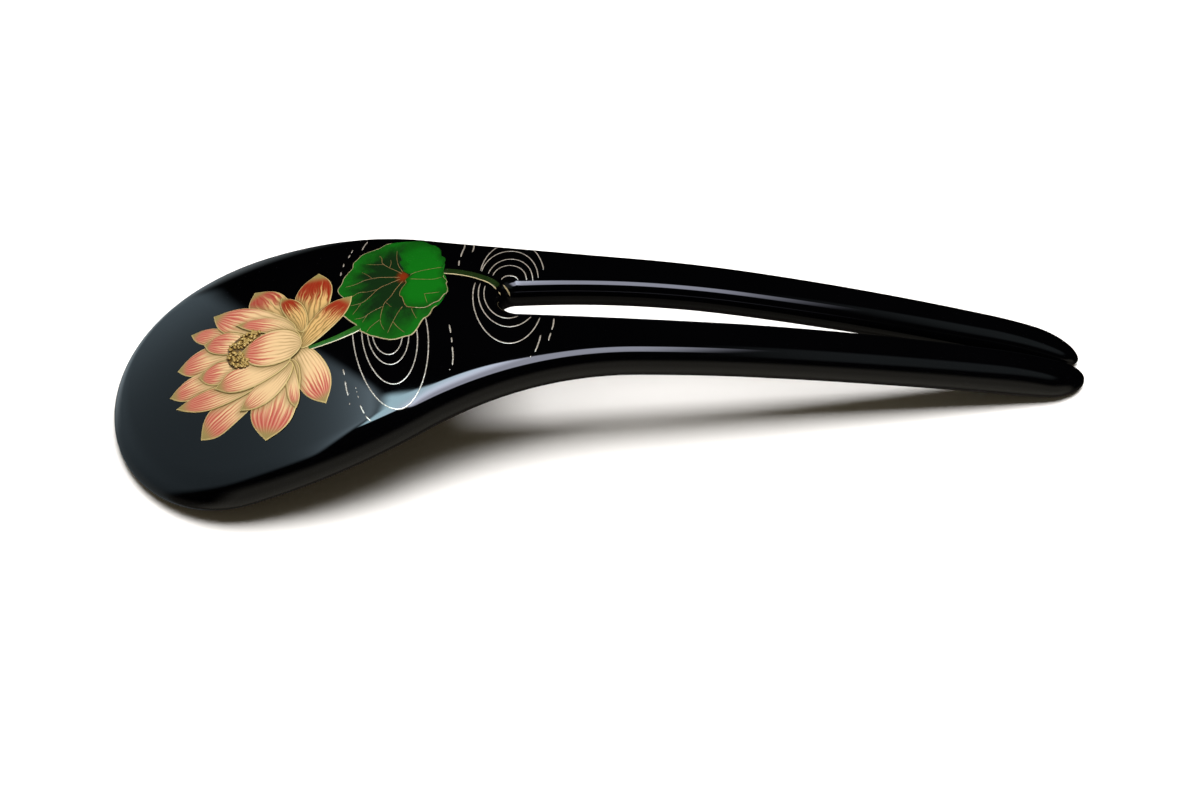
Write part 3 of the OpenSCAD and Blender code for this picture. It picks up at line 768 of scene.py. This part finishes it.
def makePetal(petal, seed, material):
    stepsAcross = flower["acrossSteps"]
    s = (1 - np.cos(np.linspace(0, math.pi, flower["alongSteps"] + 1)[1:-1])) / 2
    q = np.sin(np.linspace(-math.pi / 2, math.pi / 2, stepsAcross + 1))
    gridS, gridQ = np.meshgrid(s, q, indexing="ij")
    flat = petalPoint(petal, gridS, gridQ)
    rim = nearest(flat, petalOutline(petal, flower["outlineSteps"]))
    rim[:, [0, -1]] = 0
    base = layerHeight(flat[..., 0], flat[..., 1], petal["layer"])
    edge = edgeRound(rim / flower["bevel"])
    swell = (1 - gridQ ** 2) * fadeEnds(gridS)
    bead = np.exp(-((rim - flower["beadAt"]) / flower["beadWidth"]) ** 2) * edge
    top = base + flower["wall"] * edge + flower["dome"] * swell + flower["bead"] * bead
    under = [stepsAcross * k // 4 for k in (4, 3, 2, 1, 0)]
    rings = reliefRings(flat, top, base, under, flower["sunk"])
    foot, tip = (petalPoint(petal, np.array([end]), np.array([0.0]))[0] for end in (0.0, 1.0))
    layer, far = petal["layer"], flower["farAway"]
    points, faces = closedSkin(onLayer(foot, layer), rings, onLayer(tip, layer))
    values = {}
    for key, grid, first, last in (("along", gridS, 0, 1), ("across", gridQ, 0, 0), ("rim", rim, 0, 0),
                                   ("cover", coverGap(petal, flat), far, far)):
        below = grid[:, under] * (key != "rim")      # the underside is all rim
        values[key] = np.concatenate([[first], np.hstack([grid, below]).ravel(), [last]])
    for key, value in (("warmth", petal["warmth"]), ("blush", petal["blush"]), ("seed", seed)):
        values[key] = np.full(len(points), value)
    return addPiece(petal["name"] + "_relief", points, faces, material, "petal_lacquer",
                    [petal["name"]], values)


def stamenPoint(along, off):
    # along the crescent from 0 to 1, off to its two sides from -1 to 1
    low, high = np.radians(stamenPatch["ends"])
    turn = low + (high - low) * along
    reach = stamenPatch["radius"] + off * stamenPatch["half"]
    return stamenPatch["centre"][0] + reach * np.cos(turn), stamenPatch["centre"][1] + reach * np.sin(turn)


def stamenPad():
    # a low pad under the grains
    last = stamenPatch["padAcross"] - 1
    along = np.linspace(0, 1, stamenPatch["padSteps"])[1:-1]
    gridT, gridQ = np.meshgrid(along, np.linspace(-1, 1, last + 1), indexing="ij")
    x, y = stamenPoint(gridT, gridQ * fadeEnds(gridT))
    base = layerHeight(x, y, stamenPatch["layer"])
    top = base + stamenPatch["padHeight"] * (1 - gridQ ** 2) * fadeEnds(gridT)
    rings = reliefRings(np.stack([x, y], -1), top, base, [last, last // 2, 0], flower["sunk"])
    first, end = (onLayer(stamenPoint(along, 0), stamenPatch["layer"]) for along in (0, 1))
    return closedSkin(first, rings, end)


def antherGrain(rng, ball):
    # a knobbly grain, thick in the middle of the crescent
    along, off = rng.uniform(0.03, 0.97), rng.uniform(-0.95, 0.95)
    size, stretch = rng.uniform(*stamenPatch["grainSize"]), rng.uniform(*stamenPatch["stretch"])
    spin = rng.uniform(0, math.pi)
    knobs = 1 + stamenPatch["knobs"] * np.sin(ball @ rng.uniform(-4, 4, 3) + rng.uniform(0, 6))
    x, y = stamenPoint(along, off * math.sqrt(fadeEnds(along)))
    low, bySize = stamenPatch["seated"]
    z = float(layerHeight(x, y, stamenPatch["layer"])) + low + bySize * size
    cosine, sine = math.cos(spin), math.sin(spin)
    grain = ball * knobs[:, None] * size * (stretch, 1 / stretch, stamenPatch["flatness"])
    return grain @ np.array([[cosine, sine, 0], [-sine, cosine, 0], [0, 0, 1]]) + (x, y, z)


def makeStamens(material):
    rng = np.random.default_rng(stamenPatch["seed"])
    shape = bmesh.new()
    bmesh.ops.create_icosphere(shape, subdivisions=2, radius=1)
    ball = np.array([v.co[:] for v in shape.verts])
    ballFaces = [tuple(v.index for v in f.verts) for f in shape.faces]
    shape.free()
    pad, faces = stamenPad()
    points, crest, start = [pad], [np.zeros(len(pad))], len(pad)
    for i in range(stamenPatch["grains"]):
        points.append(antherGrain(rng, ball))
        # how high on its grain each point lies, which the gold finish turns into painted highlight on top and
        # painted shade below
        crest.append(np.clip(0.5 + 0.6 * ball[:, 2], 0, 1))
        faces += [tuple(v + start for v in f) for f in ballFaces]
        start += len(ball)
    return addPiece("stamen_grains", np.vstack(points), faces, material, "gold", ["stamens"],
                    {"crest": np.concatenate(crest)})


# the leaf and its folded side: outlines are directions in degrees and distances in mm

leafShape = {
    "wall": 0.05, "bevel": 0.16, "dome": 0.09, "flatness": 3, "sunk": 0.015,
    "spokes": 240, "rings": 26,
    "foldGap": 0.06,
    "veinRise": 0.03, "veinShare": 0.34, "veinThins": 0.4, "veinStep": 0.14, "veinSides": 4, "veinTaper": 0.3,
    # lines along an outline: inset, width, rise, first and last direction
    "nearEdge": (0.08, 0.17, 0.03, 205, 305), "farEdge": (0.06, 0.1, 0.02, 100, 205),
    "foldEdge": (0.06, 0.11, 0.02, 258, 352), "creaseEdge": (0.05, 0.11, 0.02, 205, 262),
    "edgeSteps": 0.75, "edgeSides": 5, "edgeTaper": 0.5,
}
leafBlade = {
    "name": "leaf_relief", "node": "leaf", "slot": "leaf_lacquer", "centre": (43.9, 5),
    "outline": [
        (6, 5.8), (36, 6.9), (67, 10), (79, 11.2), (102, 11.3), (114, 10.2), (126, 10.2),
        (140, 9.5), (154, 8.6), (176, 9), (189, 9.7), (205, 9.2), (220, 11.2), (232, 11.4),
        (240, 12.2), (249, 12.5), (262, 12.8), (273, 12.3), (289, 9.7), (302, 8.5), (325, 7.6), (346, 6.3),
    ],
}
foldBlade = {
    "name": "leaf_fold_relief", "node": "leaf_fold", "slot": "fold_lacquer", "centre": (46.8, 5.1),
    "outline": [
        (0, 2.7), (30, 3.1), (61, 5.6), (77, 8.2), (94, 10.7), (105, 9.9), (116, 7.9), (129, 5.3),
        (152, 3.4), (180, 1.9), (213, 3.1), (236, 5.9), (253, 7.5), (269, 7.5), (285, 6.7),
        (303, 5.7), (327, 4), (345, 3),
    ],
}
leafVeins = [  # forked veins from the leaf's heart: points in mm, width at the start
    ([(43.5, 4.8), (41.6, 5.1), (40.1, 5.3), (38.4, 5.1), (36.9, 4.4), (35.4, 4.1)], 0.2),
    ([(39.3, 5.3), (38.7, 6.2), (37.7, 7.4)], 0.13),
    ([(43.5, 4.4), (41.8, 3.5), (40.4, 2.7), (39.2, 1.2), (38.4, 0.3), (37.7, -0.1), (36.2, -0.3)], 0.2),
    ([(40.2, 2.5), (38.8, 2.2), (37.5, 2.3), (36.4, 1.6)], 0.14),
    ([(37.8, -0.1), (37.3, -1.1), (36.6, -2.2)], 0.13),
    ([(43.8, 3.9), (42.7, 1.9), (42.1, 0.6), (41.3, -0.5), (41, -1.3), (40.7, -2.8), (40.6, -3.8)], 0.2),
    ([(41.3, -0.5), (42.2, -1.7)], 0.12),
    ([(41, -1.3), (39.3, -2.2), (38.2, -3), (36.8, -3.1)], 0.15),
    ([(38.7, -2.7), (38, -4)], 0.12),
    ([(40.6, -3.8), (39.3, -4.9), (38.6, -5.9)], 0.14),
    ([(40.6, -3.8), (40.7, -4.7), (41.2, -5.9)], 0.13),
    ([(43.8, -1.7), (43.1, -2.9), (42.4, -4.5), (41.6, -6.5)], 0.16),
    ([(42.4, -4.5), (43.1, -5.6), (44.1, -6.7)], 0.14),
    ([(45, -2.2), (45.4, -3.4), (45.8, -4.4)], 0.13),
    ([(43.7, 5.6), (42.6, 6.8), (41.6, 7.8), (40.7, 9.2), (40.6, 10.6), (40.2, 11.7)], 0.2),
    ([(41.8, 7.6), (42, 8.8), (41.9, 10)], 0.13),
    ([(41, 8.7), (39.7, 9), (38.2, 9.5)], 0.14),
    ([(43.8, 6), (43.1, 8), (42.8, 10.4), (42.8, 12.9)], 0.16),
]
foldVeins = [
    ([(44.7, 5.1), (46.4, 5.8), (48.2, 6.3), (49.6, 6.8)], 0.14),
    ([(44.8, 4.0), (46.4, 3.7), (48.2, 3.6), (49.5, 4.1)], 0.14),
    ([(46.8, 0.4), (48, 0.5), (49.1, 0.7)], 0.14),
    ([(46.9, 0.4), (47.1, -0.6), (47.3, -1.5)], 0.12),
]


def outlineAt(blade, turn):
    rows = blade["outline"]
    turns = np.array([r[0] for r in rows] + [rows[0][0] + 360], float)
    reach = np.array([r[1] for r in rows] + [rows[0][1]], float)
    way = (np.asarray(turn, float) - turns[0]) % 360 + turns[0]
    i = np.clip(np.searchsorted(turns, way, side="right") - 1, 0, len(rows) - 1)
    t = (way - turns[i]) / (turns[i + 1] - turns[i])
    return reach[i] + (reach[i + 1] - reach[i]) * (1 - np.cos(math.pi * t)) / 2


def bladeShare(blade, x, y):
    # 0 in the blade's centre, 1 at its outline
    awayX, awayY = np.asarray(x, float) - blade["centre"][0], np.asarray(y, float) - blade["centre"][1]
    return np.hypot(awayX, awayY) / outlineAt(blade, np.degrees(np.arctan2(awayY, awayX)))


def bladeSwell(blade, x, y):
    return 1 - np.minimum(1, bladeShare(blade, x, y)) ** leafShape["flatness"]


def bladeLift(blade, x, y, gap=0.0):
    lift = leafShape["wall"] + leafShape["dome"] * bladeSwell(blade, x, y)
    return np.where(bladeShare(blade, x, y) < 1, gap + lift, 0)


def leafTop(x, y):
    return bodyTop(x, y) + bladeLift(leafBlade, x, y)


def foldGround(x, y):
    return leafTop(x, y) + leafShape["foldGap"]


def foldTop(x, y):
    return leafTop(x, y) + bladeLift(foldBlade, x, y, leafShape["foldGap"])


def makeBlade(blade, ground, material):
    spokes, centre = leafShape["spokes"], np.array(blade["centre"], float)
    turns = np.linspace(0, 360, spokes, endpoint=False)
    spread = wayOf(turns) * outlineAt(blade, turns)[:, None]
    rings = []
    shares = np.sin(np.linspace(0, math.pi / 2, leafShape["rings"] + 1))[1:]
    for share in shares:
        flat = centre + spread * share
        edge = edgeRound(nearest(flat, centre + spread) / leafShape["bevel"])
        dome = leafShape["dome"] * (1 - share ** leafShape["flatness"])
        rings.append(np.column_stack([flat, ground(*flat.T) + leafShape["wall"] * edge + dome]))
    for share in (1.0, 0.5):
        flat = centre + spread * share
        rings.append(np.column_stack([flat, ground(*flat.T) - leafShape["sunk"]]))
    middle = float(ground(*centre))
    top = [*centre, middle + leafShape["wall"] + leafShape["dome"]]
    low = [*centre, middle - leafShape["sunk"]]
    values = {"share": [0, *np.repeat([*shares, 1, 1], spokes), 0],
              "turn": [0, *np.tile(np.radians(turns), len(rings)), 0]}
    return addPiece(blade["name"], *closedSkin(top, rings, low), material, blade["slot"], [blade["node"]],
                    values)


def edgeLine(blade, surface, key):
    inset, width, rise, first, last = leafShape[key]
    turns = np.linspace(first, last, int((last - first) * leafShape["edgeSteps"]) + 2)
    path = np.array(blade["centre"]) + wayOf(turns) * (outlineAt(blade, turns) - inset)[:, None]
    return ribbon(path, evenWidth(width), rise, surface, leafShape["edgeSides"], leafShape["edgeTaper"])


def veinLine(knots, width, surface):
    half, thins = width * leafShape["veinShare"], leafShape["veinThins"]
    return ribbon(smoothPath(knots, leafShape["veinStep"]), lambda share: half * (1 - thins * share),
                  leafShape["veinRise"], surface, leafShape["veinSides"], leafShape["veinTaper"])


# stems and water

stems = {
    "flower": {"from": (30.2, -6.8), "to": (37.8, -4.6), "bend": -0.045, "width": (0.7, 1.25)},
    "leaf": {"from": (49.6, 5.9), "to": (57.5, 2.2), "bend": 0.08, "width": (1.4, 1.2)},
    "rise": 0.12, "steps": 48, "sides": 10, "taper": 0.25,
}
strokes = {"step": 0.12, "sides": 5, "taper": 0.3}
# short pale gold strokes by the slot's root: painted highlights, for glints on the leaf stem's gold edge
rootGlintStrokes = {
    "width": 0.24, "rise": 0.05,
    "paths": [[(58.2, 2.8), (59.2, 2.0)], [(56.7, 2.3), (57.2, 1.7)], [(57.5, 1.6), (57.8, 1.2)]],
}
water = {
    "width": 0.17, "rise": 0.025, "step": 0.22, "sides": 6, "taper": 0.8,
    "underLeaf": 60,     # degrees times mm: how far a ripple's drawn line runs on under the leaf
    "ripples": [  # name, centre, half width, half height, lean, first and last direction
        ("leaf_ripple_1", (41.6, -6.4), 2.1, 3.6, -0.08, 190, 338),
        ("leaf_ripple_2", (41.7, -6.2), 2.9, 5.4, -0.08, 185, 345),
        ("leaf_ripple_3", (41.9, -6.4), 3.9, 8.2, -0.08, 178, 357),
        ("leaf_ripple_4", (42, -6.3), 5.3, 11.8, -0.08, 180, 366),
        ("root_ripple_1", (59.2, 3.2), 1.3, 1.2, 0.04, 18, 170),
        ("root_ripple_2", (59.1, 3.3), 2.5, 3.6, 0.04, 4, 164),
        ("root_ripple_3", (59.2, 3.2), 3.3, 5.4, 0.04, 3, 163),
        ("root_ripple_4", (59.1, 3.3), 4.2, 7.6, 0.04, 5, 164),
        ("root_ripple_5", (58.9, 0.1), 4.3, 6.4, 0, 156, 317),
        ("root_ripple_6", (58.8, -0.6), 5, 8.6, 0, 156, 333),
        ("root_ripple_7", (58.7, 0.2), 3.3, 4.9, 0, 157, 298),
        ("root_ripple_8", (59.5, 3.3), 4.7, 10.3, 0.04, 116, 167),
        ("root_ripple_9", (59.5, 3.3), 4.7, 10.3, 0.04, 13, 50),
    ],
}
waterStrokes = {  # short strokes beside the ripples: points in mm
    "width": 0.21, "rise": 0.025,
    "paths": [
        [(35.31, -11.29), (35.42, -11.87), (35.53, -12.36)],
        [(35.6, -13.23), (35.77, -14.39), (36.03, -15.45)], [(36.15, -16.41), (36.28, -16.85)],
        [(37.06, -14.35), (37.17, -14.64)], [(37.22, -14.93), (37.28, -15.22)],
        [(37.33, -15.61), (37.49, -15.99)], [(37.66, -16.96), (37.97, -17.73), (38.28, -18.3)],
        [(38.38, -18.5), (38.74, -18.97), (39.19, -19.35)], [(50.37, -5.57), (50.55, -7.13)],
        [(50.62, -7.81), (50.68, -8.79)], [(50.7, -9.37), (50.78, -10.93), (50.66, -12.4)],
        [(50.32, -12.88), (50.22, -13.17)], [(63.2, -7.87), (62.93, -8.98), (62.55, -10.1), (62.27, -10.77)],
        [(61.73, -11.3), (61.49, -11.53)], [(65.22, -4.72), (65.1, -5.75), (64.82, -6.97)],
        [(64.68, -7.48), (64.4, -8.29), (64.27, -8.9)], [(36.05, 15.56), (35.89, 14.35)],
        [(35.75, 13.84), (35.53, 12.64)], [(34.93, 11.03), (34.91, 9.94)], [(34.64, 8.55), (34.62, 7.47)],
        [(38.17, 18.27), (37.72, 16.44), (37.47, 14.82)],
        [(52.82, 15.87), (52.76, 13.11), (52.41, 11.25), (52.15, 9.69)], [(51.93, 8.72), (51.87, 7.15)],
        [(54.09, 15.33), (54.11, 12.65), (53.86, 11.02)],
    ],
}


def bowedPath(spec):
    a, b = np.array(spec["from"], float), np.array(spec["to"], float)
    axis = b - a
    across = np.array([-axis[1], axis[0]]) * spec["bend"]
    t = np.linspace(0, 1, stems["steps"])
    return a + t[:, None] * axis + (4 * t * (1 - t))[:, None] * across


def ripplePath(row):
    name, centre, wide, high, lean, first, last = row
    if name.startswith("leaf"):
        first, last = first - water["underLeaf"] / high, last + water["underLeaf"] / high
    count = max(12, int(math.radians(last - first) * (wide + high) / 2 / water["step"]))
    turn = np.radians(np.linspace(first, last, count))
    along = high * np.sin(turn)
    return np.column_stack([centre[0] + wide * np.cos(turn) + lean * along, centre[1] + along])


def makeStem(kind):
    a, b = stems[kind]["width"]
    points, faces, across = ribbon(bowedPath(stems[kind]), lambda t: (a + (b - a) * t) / 2, stems["rise"],
                                   bodyTop, stems["sides"], stems["taper"])
    return addPiece(kind + "_stem_line", points, faces, stemLacquer(kind), "stem_lacquer",
                    [kind + "_stem"], {"across": across})


def shortStrokes(spec):
    return [ribbon(smoothPath(knots, strokes["step"]), evenWidth(spec["width"]), spec["rise"], bodyTop,
                   strokes["sides"], strokes["taper"]) for knots in spec["paths"]]


# build every piece

makeBody(blackLacquer())
print("body lofted")

petalMaterial = petalLacquer()
for i, petal in enumerate(petals):
    makePetal(petal, i * 3.7, petalMaterial)
makeStamens(antherGold())
print("lotus laid,", len(petals), "petals")

veinGold, edgeGold = metalPowder("veinGold"), metalPowder("edgeGold")
makeBlade(leafBlade, bodyTop, leafLacquer("leafLacquer", leafColour))
makeBlade(foldBlade, foldGround, leafLacquer("foldLacquer", foldColour))
veins = [veinLine(knots, width, leafTop) for knots, width in leafVeins]
veins += [veinLine(knots, width, foldTop) for knots, width in foldVeins]
layLines("leaf_veins", veins + [edgeLine(foldBlade, foldTop, "creaseEdge")], veinGold, "gold")
layLines("leaf_outline", [edgeLine(leafBlade, leafTop, "nearEdge"), edgeLine(leafBlade, leafTop, "farEdge"),
                          edgeLine(foldBlade, foldTop, "foldEdge")], edgeGold, "gold")
print("leaf laid,", len(veins), "veins")

for kind in ("flower", "leaf"):
    makeStem(kind)
# painted highlights at the slot's root
layLines("root_glint_strokes", shortStrokes(rootGlintStrokes), edgeGold, "gold")
silver = metalPowder("silverPowder")
for row in water["ripples"]:
    line = ribbon(ripplePath(row), evenWidth(water["width"]), water["rise"], bodyTop, water["sides"],
                  water["taper"])
    layLines(row[0] + "_line", [line], silver, "silver_line", [row[0]])
layLines("water_strokes", shortStrokes(waterStrokes), silver, "silver_line")
print("stems and ripples drawn")


# floor, light and camera: the lacquer mirrors the softbox and the room, the lamp lights the table

table = {
    "size": 6.0, "squares": 24, "below": 0.00003, "paper": (0.86, 0.855, 0.85), "fibre": 0.985,
    "grain": (220, 3, 0.6), "rough": (0.75, 0.9), "specular": 0.2,
}
softbox = {
    "at": (0.1025, -0.225, 0.56), "size": (0.535, 0.49),
    "glow": (7.0, 10.3, 11.7), "glowRight": (9.0, 9.3, 11.3), "tintTurns": (0.05, 0.5),
    # limits over its width: sharp on the left, brightest before the middle, fading out to the right
    "along": [(0.0, 0.06), (0.95, 0.62), (0.2, 0.36, 1.0, 1.32), (0.37, 0.52, 1.0, 0.47)],
    # limits over its depth, and how much nearer to the front its right part is set
    "deep": [(0.33, 0.39), (1.0, 0.94)], "nearer": (0.25, 0.55, 0.0, 0.33),
}
keyLamp = {"at": (0.07, -0.015, 0.56), "size": (0.5, 0.41), "glow": (15.1, 14.8, 14.5), "edge": (0.5, 0.4)}
room = {
    "light": (0.11, 0.09, 0.055), "white": (1.0, 1.0, 1.0), "dark": (0.0, 0.0, 0.0),
    "panelSide": (0.804, 0.516, 0.296),     # the left panel ends at a plane with this normal
    "panelLift": 0.27, "panelFall": -2.5,   # how it brightens toward the softbox
    "panelFoot": (0.0, 0.1), "flattest": 0.05,
    "behind": 0.38, "panelEnd": (0.03, -0.03), "panelUnder": (-0.24, -0.36), "before": 0.6,
    "glows": [  # tint, then the limits of the mirrored direction
        ("leftPanel", (0.26, 0.34, 0.39), [("side", 0.158, 0.108), ("x", -0.19, -0.27),
                                           ("before", -0.58, -0.38), ("z", -0.7, 0.1, 0.3, 1.0)]),
        ("rightPanel", (0.17, 0.2, 0.21), [("x", 0.35, 0.55), ("y", 0.12, -0.1), ("z", 0.45, 0.62)]),
        ("table", (0.28, 0.265, 0.225), [("z", 0.27, -0.08), ("y", -0.15, -0.5), ("x", -0.7, -0.4)]),
        ("under", (0.07, 0.064, 0.055), [("z", -0.3, -0.6), ("y", 0.5, 0.1, 0.3, 1.0)]),
        ("beyond", (0.27, 0.31, 0.33), [("z", -0.21, -0.38), ("z", -0.62, -0.5), ("y", 0.5, 0.75),
                                        ("x", -0.08, -0.28)]),
    ],
}
cameraSetup = {
    "azimuth": -3.05, "elevation": 44.71, "distance": 0.3380, "aim": (-0.00043, -0.00130, 0.0),
    "roll": -0.364, "lens": 67.84, "film": 36, "clip": (0.01, 20),
}


def makeFloor():
    shape = bmesh.new()
    bmesh.ops.create_grid(shape, x_segments=table["squares"], y_segments=table["squares"],
                          size=table["size"] / 2)
    mesh = bpy.data.meshes.new("table_top")
    shape.to_mesh(mesh)
    shape.free()
    material, tree, shader = newFinish("paperWhite")
    fibre = grainOf(tree, *table["grain"])
    colour = mixColour(fibre, table["paper"], tuple(c * table["fibre"] for c in table["paper"]))
    coat(shader, colour, fibre, table["rough"], table["specular"], span=(0.2, 0.8))
    mesh.materials.append(material)
    floor = bpy.data.objects.new("table_top", mesh)
    floor.location.z = -table["below"]
    floor.visible_glossy = False        # the lacquer mirrors the dim room instead
    bpy.context.scene.collection.objects.link(floor)


def addAreaLight(name, spec, mirrored, glowAt):
    # glowAt gives the tint and strength over the light's width u and depth v
    lamp = bpy.data.lights.new(name, "AREA")
    lamp.shape = "RECTANGLE"
    lamp.size, lamp.size_y = spec["size"]
    lamp.energy = max(spec["glow"]) * math.pi * lamp.size * lamp.size_y
    light = bpy.data.objects.new(name, lamp)
    light.location = spec["at"]
    light.visible_glossy = mirrored
    light.visible_diffuse = not mirrored
    light.visible_camera = False
    bpy.context.scene.collection.objects.link(light)
    tree = emptyTree(lamp)
    place = addNode(tree, "NewGeometry").outputs["Parametric"]
    parts = addNode(tree, "SeparateXYZ", {0: place}).outputs
    tint, strength = glowAt(parts[0], parts[1])
    glow = addNode(tree, "Emission", {"Color": tint, "Strength": strength})
    addNode(tree, "OutputLight", {"Surface": glow.outputs[0]})


def lampGlow(u, v):
    edges = [ease(calc("ABSOLUTE", minus(part, 0.5)), *keyLamp["edge"]) for part in (u, v)]
    strongest = max(keyLamp["glow"])
    return tuple(c / strongest for c in keyLamp["glow"]), times(*edges)


def softboxGlow(u, v):
    moved = plus(v, ease(u, *softbox["nearer"]))
    fades = [ease(u, *limits) for limits in softbox["along"]]
    fades += [ease(moved, *limits) for limits in softbox["deep"]]
    left, right = (tuple(c / max(softbox["glow"]) for c in softbox[key]) for key in ("glow", "glowRight"))
    return mixColour(ease(u, *softbox["tintTurns"]), left, right), times(*fades)


def roomGlow(tree, direction):
    # what the lacquer mirrors beside the softbox
    dx, dy, dz = addNode(tree, "SeparateXYZ", {0: direction}).outputs
    side = addNode(tree, "VectorMath", {0: direction, 1: room["panelSide"]}, operation="DOT_PRODUCT")
    ways = {"x": dx, "y": dy, "z": dz, "side": side.outputs["Value"],
            "before": calc("MULTIPLY_ADD", dz, room["before"], dy)}
    # the left panel stops behind the pin, and is brighter toward the softbox
    behind = calc("MULTIPLY_ADD", dy, room["behind"], dx)
    inView = calc("MAXIMUM", ease(behind, *room["panelEnd"]), ease(dz, *room["panelUnder"]))
    slant = calc("DIVIDE", times(dx, -1.0), calc("MAXIMUM", dz, room["flattest"]))
    near = calc("POWER", calc("MAXIMUM", slant, room["panelLift"]), room["panelFall"])
    lift = calc("MULTIPLY_ADD", times(near, room["panelLift"]), ease(dz, *room["panelFoot"]), 1.0)
    colour = room["dark"]
    for name, tint, limits in room["glows"]:
        shares = [ease(ways[way], *numbers) for way, *numbers in limits]
        if name == "leftPanel":
            shares += [inView, lift]
        colour = mixColour(times(*shares), colour, tint, "ADD")
    return colour


def makeRoom():
    world = bpy.data.worlds.new("room")
    bpy.context.scene.world = world
    tree = emptyTree(world)
    path = addNode(tree, "LightPath").outputs
    direction = addNode(tree, "TexCoord").outputs["Generated"]
    seen = mixColour(path["Is Camera Ray"], room["light"], room["white"])
    plain = addNode(tree, "Background", {"Color": seen})
    mirrored = addNode(tree, "Background", {"Color": roomGlow(tree, direction)})
    mixing = addNode(tree, "MixShader", {0: path["Is Glossy Ray"], 1: plain.outputs[0],
                                         2: mirrored.outputs[0]})
    addNode(tree, "OutputWorld", {"Surface": mixing.outputs[0]})


def makeCamera():
    az, el = math.radians(cameraSetup["azimuth"]), math.radians(cameraSetup["elevation"])
    back = Vector((math.sin(az) * math.cos(el), -math.cos(az) * math.cos(el), math.sin(el)))
    right = (-back).cross(Vector((0, 0, 1))).normalized()
    up = right.cross(-back)
    roll = math.radians(cameraSetup["roll"])
    turnedRight = right * math.cos(roll) + up * math.sin(roll)
    turnedUp = up * math.cos(roll) - right * math.sin(roll)
    data = bpy.data.cameras.new("camera")
    data.sensor_width = cameraSetup["film"]
    data.lens = cameraSetup["lens"]
    data.clip_start, data.clip_end = cameraSetup["clip"]
    camera = bpy.data.objects.new("camera", data)
    bpy.context.scene.collection.objects.link(camera)
    turn = Matrix((turnedRight, turnedUp, back)).transposed().to_4x4()
    place = Vector(cameraSetup["aim"]) + back * cameraSetup["distance"]
    camera.matrix_world = Matrix.Translation(place) @ turn
    bpy.context.scene.camera = camera


makeFloor()
addAreaLight("softbox", softbox, True, softboxGlow)
addAreaLight("key_lamp", keyLamp, False, lampGlow)
makeRoom()
makeCamera()
bpy.context.scene.view_settings.view_transform = "Standard"
print("floor, light and camera set")
